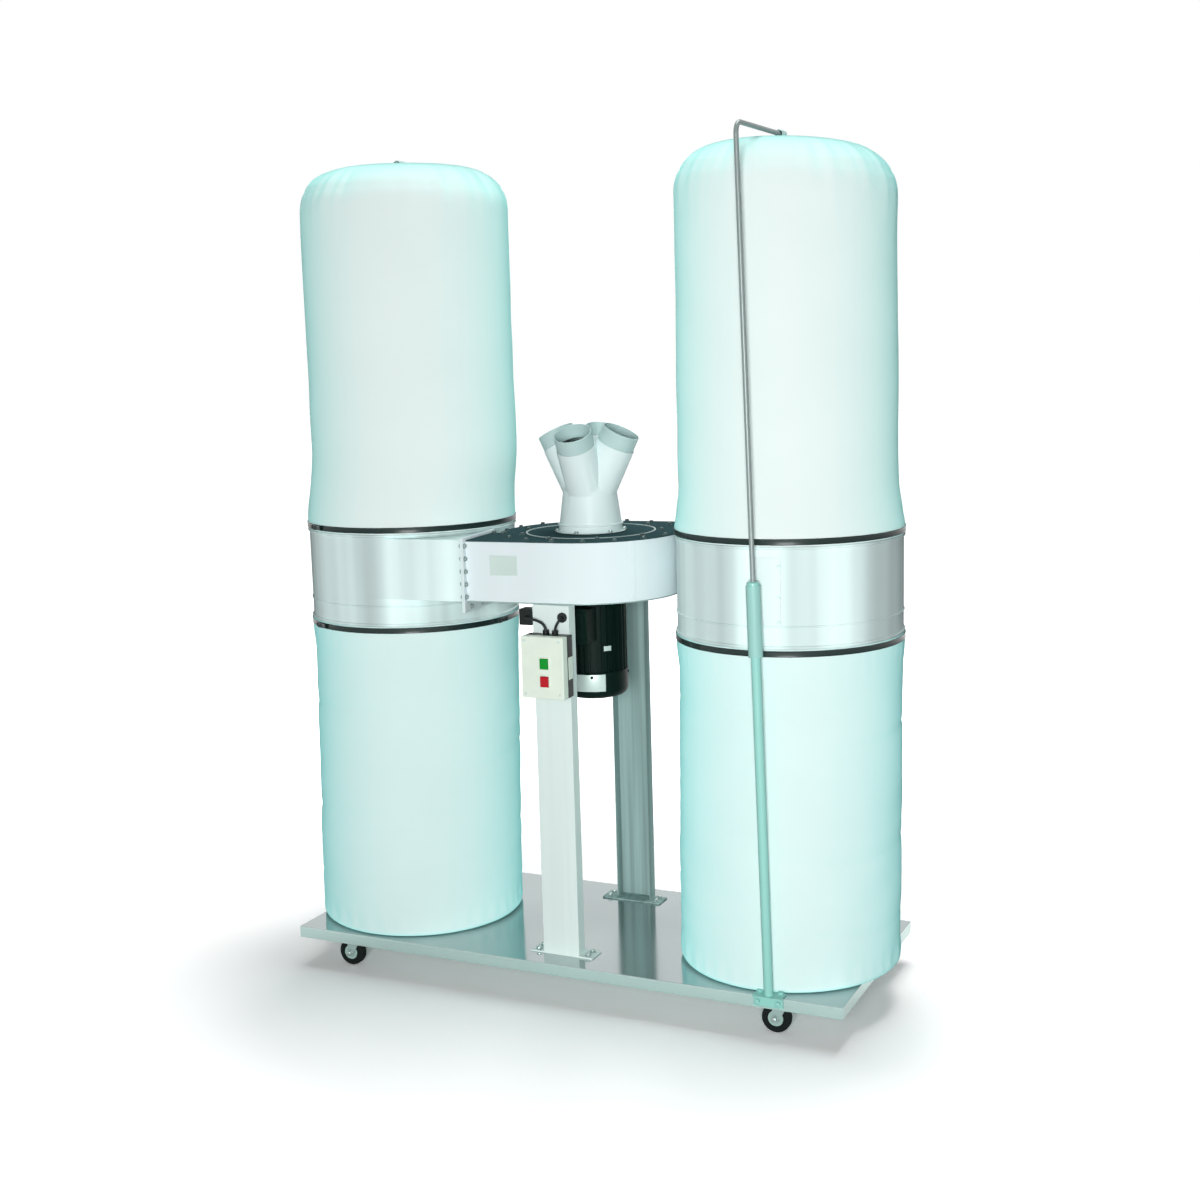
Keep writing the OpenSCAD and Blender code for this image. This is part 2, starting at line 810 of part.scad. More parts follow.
// A tube swept along a list of points
module lead(points) {
    n = len(points);
    corners = [for (i = [0 : n - 1]) each ring_at(points, i)];
    sides = [
        for (i = [0 : n - 2], k = [0 : lead_sides - 1])
            let (next = (k + 1) % lead_sides)
            [i * lead_sides + k, (i + 1) * lead_sides + k,
             (i + 1) * lead_sides + next, i * lead_sides + next]
    ];
    ends = [
        [for (k = [0 : lead_sides - 1]) k],
        [for (k = [lead_sides - 1 : -1 : 0]) (n - 1) * lead_sides + k]
    ];
    polyhedron(corners, concat(sides, ends), convexity = 4);
}

module motor_lead() {
    color("#0e1412") translate([0, 0, box_z0 + box_h]) lead(motor_lead_points);
}

module supply_lead() {
    color("#0e1412") translate([0, 0, box_z0 + box_h]) lead(supply_lead_points);
}

base_plate();
front_post();
rear_post();
caster_plates();
fork_at(FRONT_LEFT);  // front_left_fork
fork_at(FRONT_RIGHT);  // front_right_fork
fork_at(REAR_LEFT);  // rear_left_fork
fork_at(REAR_RIGHT);  // rear_right_fork
hub_at(FRONT_LEFT);  // front_left_hub
hub_at(FRONT_RIGHT);  // front_right_hub
hub_at(REAR_LEFT);  // rear_left_hub
hub_at(REAR_RIGHT);  // rear_right_hub
tyre_at(FRONT_LEFT);  // front_left_tyre
tyre_at(FRONT_RIGHT);  // front_right_tyre
tyre_at(REAR_LEFT);  // rear_left_tyre
tyre_at(REAR_RIGHT);  // rear_right_tyre
blower_wall();
blower_floor();
blower_cover();
inlet_collar();
inlet_manifold();
spigot(-90);  // front_spigot
spigot(0);  // right_spigot
spigot(90);  // rear_spigot
spigot(180);  // left_spigot
drum(-1);  // left_drum
drum(1);  // right_drum
filter_bag(-1);  // left_filter_bag
filter_bag(1);  // right_filter_bag
dust_bag(-1);  // left_dust_bag
dust_bag(1);  // right_dust_bag
upper_clamps();
lower_clamps();
hanger_brackets();
hanger_tubes();
hanger_rods();
hanger_sleeves();
motor_body();
motor_cowl();
terminal_box();
switch_back();
switch_cover();
start_button();
stop_button();
post_grommet();
supply_inlet();
cable_glands();
motor_lead();
supply_lead();
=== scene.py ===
# %% [markdown]
# # A twin-bag workshop dust collector
# A motor hangs under a round blower, four hose spigots feed it from above, and two drums at its sides each
# carry a cloth filter bag above and a cloth dust bag below, all on a wheeled base. The CAD solids arrive in
# one shared frame, in metres, with +Z up and the front towards -Y. This notebook gives finishes to the
# solids whose shapes are right, and models what CAD leaves plain: cloth, clamps, fasteners, leads, plates
# and seams.

# %% Load the frame
import math
import bmesh
import bpy
from mathutils import Matrix, Vector, noise


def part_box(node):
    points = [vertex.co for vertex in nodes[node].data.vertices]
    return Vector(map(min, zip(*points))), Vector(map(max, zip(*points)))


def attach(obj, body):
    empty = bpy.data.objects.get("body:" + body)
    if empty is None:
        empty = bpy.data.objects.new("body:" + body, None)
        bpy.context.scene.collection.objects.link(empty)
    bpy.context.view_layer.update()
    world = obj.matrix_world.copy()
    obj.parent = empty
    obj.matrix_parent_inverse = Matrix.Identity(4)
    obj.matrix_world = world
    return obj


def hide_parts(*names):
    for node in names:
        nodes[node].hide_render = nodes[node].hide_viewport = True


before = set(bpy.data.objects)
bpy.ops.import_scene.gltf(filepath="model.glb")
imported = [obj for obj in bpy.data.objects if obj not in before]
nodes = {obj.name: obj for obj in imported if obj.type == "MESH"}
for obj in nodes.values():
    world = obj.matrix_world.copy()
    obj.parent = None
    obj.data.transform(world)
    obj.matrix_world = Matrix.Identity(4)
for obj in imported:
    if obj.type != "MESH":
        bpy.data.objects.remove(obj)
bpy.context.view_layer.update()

# %% [markdown]
# Every later place is measured from a few solids: the base, a dust bag for the axis of its column, and the
# blower's floor and cover. The other sizes repeat the ones that the part was drawn with.

# %% Sizes that the pieces share
base_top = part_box("base_plate")[1].z
blower_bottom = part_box("blower_floor")[0].z
blower_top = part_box("blower_cover")[1].z
bag_low, bag_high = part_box("right_dust_bag")
column_x = (bag_low.x + bag_high.x) / 2
base_front = -0.320
drum_r = 0.287
drum_low_z = base_top + 0.842
drum_high_z = drum_low_z + 0.290
cuff_r = 0.2903
cuff_h = 0.020
upper_band_z = drum_high_z - cuff_h / 2
lower_band_z = drum_low_z + cuff_h / 2
blower_r = 0.245
motor_r = 0.090
duct_w = 0.170
duct_front = blower_r - 0.0006
duct_back = duct_front - duct_w
duct_joint = 0.260
duct_turn = math.asin((drum_r - blower_r) / column_x)
hanger_x = 0.600
hanger_y = -0.318
hanger_lean = math.tan(math.radians(1.5))
corners = {"front_left": (-1, -1), "front_right": (1, -1), "rear_left": (-1, 1), "rear_right": (1, 1)}
print("column at x =", round(column_x, 4), " drum from", round(drum_low_z, 3), "to", round(drum_high_z, 3))

# %% [markdown]
# The machine's two halves are the same, half a turn apart, and each duct leaves the blower along a tangent.
# These functions turn a place on one half, round an axis or along a duct into a place in the shared frame,
# and one more gives a thing several settings at once.

# %% Places on the two halves
def tune(thing, **settings):
    """The same thing with some of its settings given."""
    for key, value in settings.items():
        setattr(thing, key, value)
    return thing


def half_turn(point, side):
    """The same place on the right half (side 1) or, half a turn round, on the left half (side -1)."""
    return Vector((side * point[0], side * point[1], point[2]))


def around(radius, angle, height, centre=(0, 0)):
    """A place on a circle about an upright axis, with the angle in degrees from +X."""
    a = math.radians(angle)
    return Vector((centre[0] + radius * math.cos(a), centre[1] + radius * math.sin(a), height))


def duct_point(side, along, across, height):
    """A place measured along a duct and across it, out from the blower's centre."""
    turn = duct_turn + (0 if side > 0 else math.pi)
    return Vector((along * math.cos(turn) - across * math.sin(turn),
                   along * math.sin(turn) + across * math.cos(turn), height))


print("left joint, outer face:", [round(v, 3) for v in duct_point(-1, duct_joint, duct_front, blower_top)])

# %% [markdown]
# The camera stands at the front right, a little above the middle, and looks slightly down, so that the
# front, the right side and the tops of the drums all show. The lamps are aimed by the same function.

# %% Camera
def aimed(name, data, place, aim, roll=0.0):
    """A camera or lamp at a place, looking at a point, rolled by degrees about its line of sight."""
    item = bpy.data.objects.new(name, data)
    bpy.context.scene.collection.objects.link(item)
    facing = (Vector(aim) - Vector(place)).to_track_quat("-Z", "Y").to_matrix().to_4x4()
    item.matrix_world = Matrix.Translation(place) @ facing @ Matrix.Rotation(math.radians(roll), 4, "Z")
    return item


camera = aimed("camera", bpy.data.cameras.new("camera"), (1.8972, -3.9724, 1.7284), (0.021, 0.0, 1.027),
               -1.59)
tune(camera.data, lens=49.56, sensor_width=36)
bpy.context.scene.camera = camera
print("camera stands", round(camera.location.length, 2), "m from the middle of the base")

# %% [markdown]
# Materials and the world are built from shader nodes. These helpers add a node, link or set a socket, and
# make the nodes that are used most: maths, a mapped range, and noise that can be stretched.

# %% Shader node helpers
def feed(socket, value):
    """Links another node's output to a socket, or sets a plain number, vector or colour on it."""
    if isinstance(value, bpy.types.NodeSocket):
        socket.id_data.links.new(value, socket)
    else:
        socket.default_value = value


def feed_all(node, values):
    """Feeds a node's inputs by their labels or numbers."""
    for label, value in dict(values).items():
        feed(node.inputs[label], value)
    return node


def add_node(tree, kind, values=(), **settings):
    """A new shader node with some of its settings and inputs given."""
    return feed_all(tune(tree.nodes.new("ShaderNode" + kind), **settings), values)


def add_math(operation, a, b, clamp=False):
    """A maths node. Its first value is a socket, whose tree it joins."""
    return add_node(a.id_data, "Math", {0: a, 1: b}, operation=operation, use_clamp=clamp).outputs[0]


def map_range(value, start, end, low, high):
    """A value that runs from low to high while the given one runs from start to end."""
    return add_node(value.id_data, "MapRange", {"Value": value, "From Min": start, "From Max": end,
                                                "To Min": low, "To Max": high}).outputs[0]


def add_noise(vector, scale, detail, stretch=(1, 1, 1)):
    """Noise read through a Mapping node, which can stretch it along an axis."""
    mapping = add_node(vector.id_data, "Mapping", {"Scale": stretch, "Vector": vector})
    return add_node(vector.id_data, "TexNoise", {"Detail": detail, "Scale": scale,
                                                 "Vector": mapping.outputs[0]}).outputs["Fac"]


print("shader node helpers ready")

# %% [markdown]
# A product shot uses large soft lamps. The main one stands beside the camera at about its height, so that
# round things darken evenly towards both edges. A wide one hangs overhead, a little behind, and drops the
# shadow forward. A weak one lights the back and isn't seen in polished metal. The world is white to the
# camera and to reflections, and much dimmer to matt surfaces.

# %% Lamps and world
def area_lamp(name, place, aim, size, power):
    """A square soft lamp that shines from place towards aim."""
    lamp = tune(bpy.data.lights.new(name, "AREA"), shape="SQUARE", size=size, energy=power)
    return aimed(name, lamp, place, aim)


area_lamp("main_lamp", (1.9, -4.85, 1.5), (0, 0, 1.15), 1.5, 232)
area_lamp("top_lamp", (0.2, 1.7, 7.0), (0.05, 0, 0.3), 4.0, 335)
rear_lamp = area_lamp("rear_lamp", (-2.0, 5.0, 2.6), (0, 0, 1.15), 2.5, 60)
rear_lamp.visible_glossy = False
world = bpy.context.scene.world or bpy.data.worlds.new("studio")
bpy.context.scene.world = world
world.use_nodes = True
tree = world.node_tree
tree.nodes.clear()
path = add_node(tree, "LightPath")
seen = path.outputs["Is Camera Ray"]
for ray in ("Is Glossy Ray", "Is Transmission Ray"):
    seen = add_math("ADD", seen, path.outputs[ray], clamp=True)
sky = add_node(tree, "Background", {"Color": (1, 1, 1, 1), "Strength": map_range(seen, 0.0, 1.0, 0.10, 1.0)})
add_node(tree, "OutputWorld", {"Surface": sky.outputs[0]})
bpy.context.scene.view_settings.view_transform = "Standard"

# %% [markdown]
# To the camera and to reflections the floor is bright enough to be white where it is lit, which leaves the
# machine's shadow, and a glow that grows with the distance hides the sheet's edge. To the light that
# bounces off it the floor is a darker grey, so that the machine isn't lit from below. Its underside is
# clear, so that a camera can look up through it.

# %% Floor
bpy.ops.object.select_all(action="DESELECT")
bpy.ops.mesh.primitive_plane_add(size=60, location=(0, 0, 0))
floor = bpy.context.object
floor.name = "floor"
floor_paint = bpy.data.materials.new("studio_floor")
floor_paint.use_nodes = True
tree = floor_paint.node_tree
tree.nodes.clear()
path = add_node(tree, "LightPath")
where = add_node(tree, "NewGeometry")
seen = add_math("ADD", path.outputs["Is Camera Ray"], path.outputs["Is Glossy Ray"], clamp=True)
distance = add_node(tree, "VectorMath", {0: where.outputs["Position"]}, operation="LENGTH")
far = map_range(distance.outputs["Value"], 0.95, 2.6, 0.0, 1.0)
matt = add_node(tree, "BsdfDiffuse", {"Color": map_range(seen, 0.0, 1.0, 0.34, 1.20)})
glow = add_node(tree, "Emission", {"Color": (1, 1, 1, 1), "Strength": add_math("MULTIPLY", seen, far)})
both = add_node(tree, "AddShader", {0: matt.outputs[0], 1: glow.outputs[0]})
clear = add_node(tree, "BsdfTransparent")
one_sided = add_node(tree, "MixShader", {"Fac": where.outputs["Backfacing"], 1: both.outputs[0],
                                         2: clear.outputs[0]})
add_node(tree, "OutputMaterial", {"Surface": one_sided.outputs[0]})
floor.data.materials.append(floor_paint)
print("floor laid at z = 0,", floor.dimensions.x, "m wide")

# %% [markdown]
# Modelling by operators acts on what is selected, so each step first picks its piece alone. These helpers
# add the primitives that most pieces start from, select faces or edges by where they are, and apply
# modifiers. A new primitive's place goes straight into its mesh.

# %% Modelling helpers
def pick(piece):
    """Makes one piece the only selected and active object."""
    if bpy.context.object and bpy.context.object.mode != "OBJECT":
        bpy.ops.object.mode_set(mode="OBJECT")
    bpy.ops.object.select_all(action="DESELECT")
    piece.select_set(True)
    bpy.context.view_layer.objects.active = piece
    return piece


def start(name):
    """Names the primitive that was just added, and moves its place, turn and size into its mesh."""
    piece = pick(bpy.context.object)
    piece.name = name
    bpy.ops.object.transform_apply(location=True, rotation=True, scale=True)
    return piece


def block(name, size, place=(0, 0, 0)):
    """A box of a given size."""
    bpy.ops.object.select_all(action="DESELECT")
    bpy.ops.mesh.primitive_cube_add(size=1, location=place)
    bpy.context.object.dimensions = size
    return start(name)


def disc(name, sides, radius, depth, place=(0, 0, 0), turn=(0, 0, 0), ends="NGON"):
    """A cylinder, closed unless its ends are NOTHING."""
    bpy.ops.object.select_all(action="DESELECT")
    bpy.ops.mesh.primitive_cylinder_add(vertices=sides, radius=radius, depth=depth, end_fill_type=ends,
                                        location=place, rotation=turn)
    return start(name)


def hoop(name, radius, wire, sides, wire_sides, place=(0, 0, 0)):
    """A ring of round wire."""
    bpy.ops.object.select_all(action="DESELECT")
    bpy.ops.mesh.primitive_torus_add(major_radius=radius, minor_radius=wire, major_segments=sides,
                                     minor_segments=wire_sides, location=place)
    return start(name)


def edit(piece, faces=None, edges=None):
    """Opens edit mode with only the faces or edges selected for which the given rule is true."""
    pick(piece)
    bpy.ops.object.mode_set(mode="EDIT")
    bpy.ops.mesh.select_mode(type="FACE" if faces else "EDGE")
    bpy.ops.mesh.select_all(action="DESELECT")
    mesh = bmesh.from_edit_mesh(piece.data)
    for item in (mesh.faces if faces else mesh.edges):
        if faces(item.calc_center_median(), item.normal) if faces else edges(item):
            item.select_set(True)
    bmesh.update_edit_mesh(piece.data)


def done():
    """Back to object mode."""
    bpy.ops.object.mode_set(mode="OBJECT")


def inset(piece, side, *steps):
    """Insets the faces that look to one side, once for each (thickness, depth)."""
    edit(piece, faces=lambda c, n: n.dot(Vector(side)) > 0.9)
    for thickness, depth in steps:
        bpy.ops.mesh.inset(thickness=thickness, depth=depth)
    done()


def apply(piece, kind, **settings):
    """Adds one modifier with its settings and applies it."""
    pick(piece)
    bpy.ops.object.modifier_apply(modifier=tune(piece.modifiers.new(kind, kind), **settings).name)


def smooth(piece, angle=35):
    """Shades a piece smooth, except across edges sharper than the angle."""
    pick(piece)
    bpy.ops.object.shade_smooth_by_angle(angle=math.radians(angle))


def soften(piece, width, segments=2, shading=35, **settings):
    """Rounds the sharp edges by a small width and shades the piece smooth."""
    apply(piece, "BEVEL", width=width, segments=segments, limit_method="ANGLE", **settings)
    smooth(piece, shading)


print("modelling helpers ready")

# %% [markdown]
# A small model such as a bolt is made once and copied to its places, each copy with its own mesh. A finished
# piece gets its finish and the body that it moves with, and hides the CAD solids that it takes the place of.

# %% Helpers for copies and finished pieces
UP, DOWN, FRONT = (0, 0, 1), (0, 0, -1), (0, -1, 0)
finishes = {}


def join(pieces):
    """Joins pieces into the first one."""
    pick(pieces[0])
    for piece in pieces[1:]:
        piece.select_set(True)
    if len(pieces) > 1:
        bpy.ops.object.join()
    return pieces[0]


def copies(model, places, name):
    """Copies of one small model at (place, direction, turn), joined as one piece."""
    made = []
    for place, direction, turn in places:
        copy = model.copy()
        copy.data = model.data.copy()
        bpy.context.scene.collection.objects.link(copy)
        facing = Vector(direction).to_track_quat("Z", "Y").to_matrix().to_4x4()
        copy.data.transform(Matrix.Translation(place) @ facing @ Matrix.Rotation(math.radians(turn), 4, "Z"))
        made.append(copy)
    join(made).name = name
    return made[0]


def clear_away(*models):
    """Deletes the small models once their copies are placed."""
    for model in models:
        bpy.data.objects.remove(model)


def dress(piece, finish_name):
    """Gives a piece the finish of that name, and no other."""
    piece.data.materials.clear()
    piece.data.materials.append(finishes[finish_name])


def put(piece, finish_name, body="frame", stands_for=()):
    """Gives a piece its finish and its body, and hides the solids it stands for."""
    dress(piece, finish_name)
    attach(piece, body)
    if stands_for:
        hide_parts(*stands_for)
    print(piece.name, "-", sum(len(p.vertices) - 2 for p in piece.data.polygons), "triangles")


def fasten(model, places, name, finish_name, body="frame"):
    """Copies of a small model at its places, as one finished piece."""
    put(copies(model, places, name), finish_name, body)


print("helpers for copies ready")

# %% [markdown]
# Painted sheet metal is never one flat colour. Its tone drifts a little, the spray leaves a fine orange peel,
# and a rolled sheet has long shallow waves and fine upright bands. Where a paint makes the upright bands
# strong, on the drums and the rear post, they are also painted reflection: dark and light bands that stand in
# for the soft upright reflections of polished sheet. One node group makes all of them from Object
# coordinates, and each paint uses it with its own values.

# %% Group: sprayed sheet metal
def new_group(name, *numbers):
    """A node group that takes a place, a colour and numbers, and puts out colour, roughness and height."""
    group = bpy.data.node_groups.new(name, "ShaderNodeTree")
    kinds = {"Vector": "NodeSocketVector", "Colour": "NodeSocketColor"}
    for way, labels in (("INPUT", ("Vector", "Colour") + numbers),
                        ("OUTPUT", ("Colour", "Roughness", "Height"))):
        for label in labels:
            group.interface.new_socket(label, in_out=way, socket_type=kinds.get(label, "NodeSocketFloat"))
    return group, group.nodes.new("NodeGroupInput").outputs, group.nodes.new("NodeGroupOutput").inputs


def swung(middle, field, amount):
    """A value that swings about its middle with a field that runs from 0 to 1."""
    return add_math("ADD", add_math("MULTIPLY", add_math("SUBTRACT", field, 0.5), amount), middle)


def toned(colour, field, amount):
    """The colour made lighter or darker where the field is above or below a half."""
    return add_node(field.id_data, "VectorMath", {0: colour, "Scale": swung(1.0, field, amount)},
                    operation="SCALE").outputs[0]


sprayed, given, out = new_group("sprayed_metal", "Tone Drift", "Roughness", "Wave Height", "Streak",
                                "Streak Scale")
drift = add_noise(given["Vector"], 3.0, 3, (1, 1, 0.35))
peel = add_noise(given["Vector"], 700.0, 1)
wave = add_noise(given["Vector"], 2.2, 1, (1, 1, 0.25))
# Upright bands: partly the sheet's own marks, and painted reflection where a paint makes them strong.
streaks_and_painted_reflections = add_noise(given["Vector"], given["Streak Scale"], 2, (1, 1, 0.02))
drifted = toned(given["Colour"], drift, given["Tone Drift"])
feed(out["Colour"], toned(drifted, streaks_and_painted_reflections, given["Streak"]))
feed(out["Roughness"], swung(given["Roughness"], drift, 0.15))
feed(out["Height"], add_math("ADD", add_math("MULTIPLY", peel, 0.012),
                             add_math("MULTIPLY", wave, given["Wave Height"])))
print("group:", sprayed.name, len(sprayed.nodes), "nodes")

# %% [markdown]
# A finish is a group plus the shader. Numbers that are the same all over, such as the coat, sit on the
# shader itself, and the group's height feeds a Bump node.

# %% Function: a finish, and a paint
def finish(name, group, group_values, shader_values, bump, depth, uv_map=None):
    """A material whose colour, roughness and relief come from a group with its own values."""
    material = finishes[name] = bpy.data.materials.new(name)
    material.use_nodes = True
    tree = material.node_tree
    where = add_node(tree, "UVMap", uv_map=uv_map) if uv_map else add_node(tree, "TexCoord")
    place = where.outputs["UV" if uv_map else "Object"]
    skin = feed_all(add_node(tree, "Group", node_tree=group), {"Vector": place, **group_values}).outputs
    relief = add_node(tree, "Bump", {"Strength": bump, "Distance": depth, "Height": skin["Height"]})
    feed_all(tree.nodes["Principled BSDF"], {
        "Base Color": skin["Colour"], "Roughness": skin["Roughness"], "Normal": relief.outputs["Normal"],
        **shader_values})
    return material


def paint(name, colour, roughness=0.3, metallic=0.0, coat=0.0, drift=0.08, wave=0.4, bump=0.2, specular=0.2,
          streak_and_reflection=0.0, streak_scale=9.0):
    """A sprayed finish. The colour is linear, bump is the height scale of its grain."""
    return finish(name, sprayed,
                  {"Colour": (*colour, 1), "Tone Drift": drift, "Roughness": roughness, "Wave Height": wave,
                   "Streak": streak_and_reflection, "Streak Scale": streak_scale},
                  {"Metallic": metallic, "Coat Weight": coat, "Coat Roughness": 0.08,
                   "Specular IOR Level": specular}, bump, 0.01)


# The drum's strong upright bands are partly painted reflection: they stand in for the soft upright
# reflections and darker edges of a polished drum.
paint("drum_paint", (0.68, 0.83, 0.82), 0.36, drift=0.16, wave=0.9, specular=0.0, streak_and_reflection=1.3)
paint("casing_paint", (0.71, 0.80, 0.82), 0.38, specular=0.0, streak_and_reflection=0.12)
paint("blower_floor_paint", (0.30, 0.42, 0.40), 0.35, 0.2)
paint("cover_paint", (0.040, 0.078, 0.084), 0.6, specular=0.0, drift=0.3)
# The ring's pale paint is a painted highlight on the cover's raised edge.
paint("ring_painted_highlight", (0.36, 0.45, 0.45), 0.4, specular=0.1)
paint("inlet_paint", (0.69, 0.80, 0.80), 0.36, specular=0.1, streak_and_reflection=0.25)
# The spigots' darker grey is partly their own grey rims and partly painted shade, darkened to match the
# shaded inside of their mouths.
paint("spigot_paint_with_painted_shade", (0.45, 0.60, 0.59), 0.36, specular=0.1, streak_and_reflection=0.2)
paint("front_post_paint", (0.68, 0.79, 0.76), 0.38, drift=0.16, streak_and_reflection=0.1, streak_scale=50)
# The rear post is the same painted channel as the front post, but its colour is painted much darker: painted
# shade from the blower and motor above it. Its strong upright bands are painted reflection.
paint("rear_post_paint", (0.27, 0.38, 0.37), 0.38, specular=0.0, drift=0.2, streak_and_reflection=1.3, streak_scale=50)
paint("hanger_paint", (0.28, 0.60, 0.54), 0.3, coat=0.15)
paint("motor_paint", (0.004, 0.013, 0.010), 0.42, wave=0.1, specular=0.05)
paint("clamp_paint", (0.012, 0.026, 0.024), 0.28, coat=0.05, wave=0.1, specular=0.15)
paint("bright_steel", (0.40, 0.50, 0.48), 0.3, 0.6, drift=0.2, wave=0.1, specular=0.5)
paint("plate_steel", (0.55, 0.67, 0.63), 0.35, 0.1, drift=0.3, wave=0.1)
paint("rod_steel", (0.23, 0.28, 0.275), 0.3, 0.15, drift=0.2, wave=0.1)
paint("dark_steel", (0.07, 0.11, 0.11), 0.35, 0.2, drift=0.2, wave=0.1)
paint("dull_steel", (0.30, 0.38, 0.37), 0.4, 0.3, drift=0.2, wave=0.1)
paint("fork_steel", (0.34, 0.46, 0.44), 0.35, 0.3, drift=0.2, wave=0.1)
print("paints:", ", ".join(finishes))

# %% [markdown]
# Two pieces carry two finishes. The base is one folded sheet of polished steel, painted darker on its top and
# lighter on its edges: the lighter edges are a painted highlight, standing in for the light that the folded
# edges catch. Each hanger's strap is painted like the drum while its sleeve is painted like the tube. A mask
# read from Object coordinates picks the colour, so the line between them stays sharp.

# %% Function: a paint in two tones
def two_tone(material, second, axis, level):
    """Gives a paint a second colour where the size of the coordinate is below a level."""
    tree = material.node_tree
    base_colour = tree.nodes["Principled BSDF"].inputs["Base Color"]
    split = add_node(tree, "SeparateXYZ", {0: add_node(tree, "TexCoord").outputs["Object"]})
    size = add_math("ABSOLUTE", split.outputs[axis], 0.0)
    blend = add_node(tree, "Mix", {"Factor": add_math("LESS_THAN", size, level), "B": (*second, 1),
                                   "A": base_colour.links[0].from_socket}, data_type="RGBA")
    feed(base_colour, blend.outputs["Result"])
    return material


# The base's second, lighter colour on its folded edges is a painted highlight; the sheet itself is one steel.
two_tone(paint("base_steel_with_painted_lit_edges", (0.44, 0.50, 0.50), 0.12, 0.9, drift=0.3, wave=0.25, bump=0.05, specular=0.3),
         (0.50, 0.64, 0.61), "Z", base_top - 0.0012)
two_tone(paint("sleeve_paint", (0.29, 0.55, 0.51), 0.3, coat=0.15), (0.68, 0.81, 0.80), "Y", 0.2985)
print("two-tone finishes: base_steel_with_painted_lit_edges, sleeve_paint")

# %% [markdown]
# Moulded plastic and rubber share one more group: a fine spark-eroded grain with slow patches where hands
# and light have changed the surface a little.

# %% Group: moulded grain
moulded, given, out = new_group("moulded_grain", "Grain Scale", "Roughness")
patch = add_noise(given["Vector"], 22.0, 2)
grain = add_noise(given["Vector"], given["Grain Scale"], 2)
feed(out["Colour"], toned(given["Colour"], patch, 0.12))
feed(out["Roughness"], swung(given["Roughness"], patch, 0.2))
feed(out["Height"], grain)


def plastic(name, colour, roughness=0.4, grain=900.0, specular=0.5):
    """A moulded finish in a linear colour."""
    return finish(name, moulded, {"Colour": (*colour, 1), "Grain Scale": grain, "Roughness": roughness},
                  {"Specular IOR Level": specular}, 0.12, 0.0006)


plastic("black_plastic", (0.006, 0.010, 0.009), specular=0.15)
plastic("pale_plastic", (0.70, 0.79, 0.69), specular=0.2)
plastic("green_plastic", (0.006, 0.26, 0.025), 0.35, specular=0.1)
plastic("red_plastic", (0.44, 0.014, 0.022), 0.35, specular=0.1)
plastic("hub_plastic", (0.34, 0.50, 0.45), specular=0.2)
plastic("tyre_rubber", (0.007, 0.011, 0.010), 0.7, 500.0, specular=0.1)
plastic("lead_rubber", (0.007, 0.011, 0.010), 0.5, 600.0, specular=0.2)
print("finishes with the moulded ones:", len(finishes))

# %% [markdown]
# Filter felt is dense needled cloth, with short fibres over a faint square backing weave. The group reads
# the piece's own UV map, in metres of cloth, so the weave follows the bag. A Diffuse Roughness lets the
# fibres send light back the way it came, and sheen gives the soft aqua edge of a fuzzy surface.

# %% Group: felt
felt, given, out = new_group("needled_felt", "Weave")
fibres = add_noise(given["Vector"], 900.0, 3)
cloud = add_noise(given["Vector"], 6.0, 2)
threads = []
for direction in ("X", "Y"):
    band = add_node(felt, "TexWave", {"Scale": 160.0, "Vector": given["Vector"]}, bands_direction=direction)
    threads.append(band.outputs["Fac"])
weave = add_math("MULTIPLY", add_math("MULTIPLY", threads[0], threads[1]), given["Weave"])
feed(out["Colour"], toned(given["Colour"], cloud, 0.05))
feed(out["Roughness"], add_math("ADD", add_math("MULTIPLY", fibres, 0.15), 0.72))
feed(out["Height"], add_math("ADD", fibres, weave))


def cloth(name, colour, sheen, tint, weave=0.5):
    """A felt finish that reads the cloth's own UV map."""
    return finish(name, felt, {"Colour": (*colour, 1), "Weave": weave},
                  {"Sheen Weight": sheen, "Sheen Roughness": 0.85, "Sheen Tint": (*tint, 1),
                   "Diffuse Roughness": 0.45, "Specular IOR Level": 0.2}, 0.15, 0.0005, uv_map="cloth")


cloth("filter_felt", (0.85, 0.83, 0.82), 1.0, (0.30, 1.0, 0.94))
cloth("dust_bag_cloth", (0.81, 0.85, 0.835), 1.0, (0.2, 1.0, 0.97), weave=0.8)
cloth("sewing_thread", (0.55, 0.72, 0.70), 0.1, (0.6, 1.0, 0.95))
print("finishes with the cloths:", len(finishes))

# %% [markdown]
# The CAD solids that stay are hard sheet and cast pieces. Each gets a Weld, which joins its loose
# triangles, a Decimate that merges the triangles of a flat face, and a small Bevel, since real edges are
# never perfectly sharp. The solid's own mesh isn't touched.

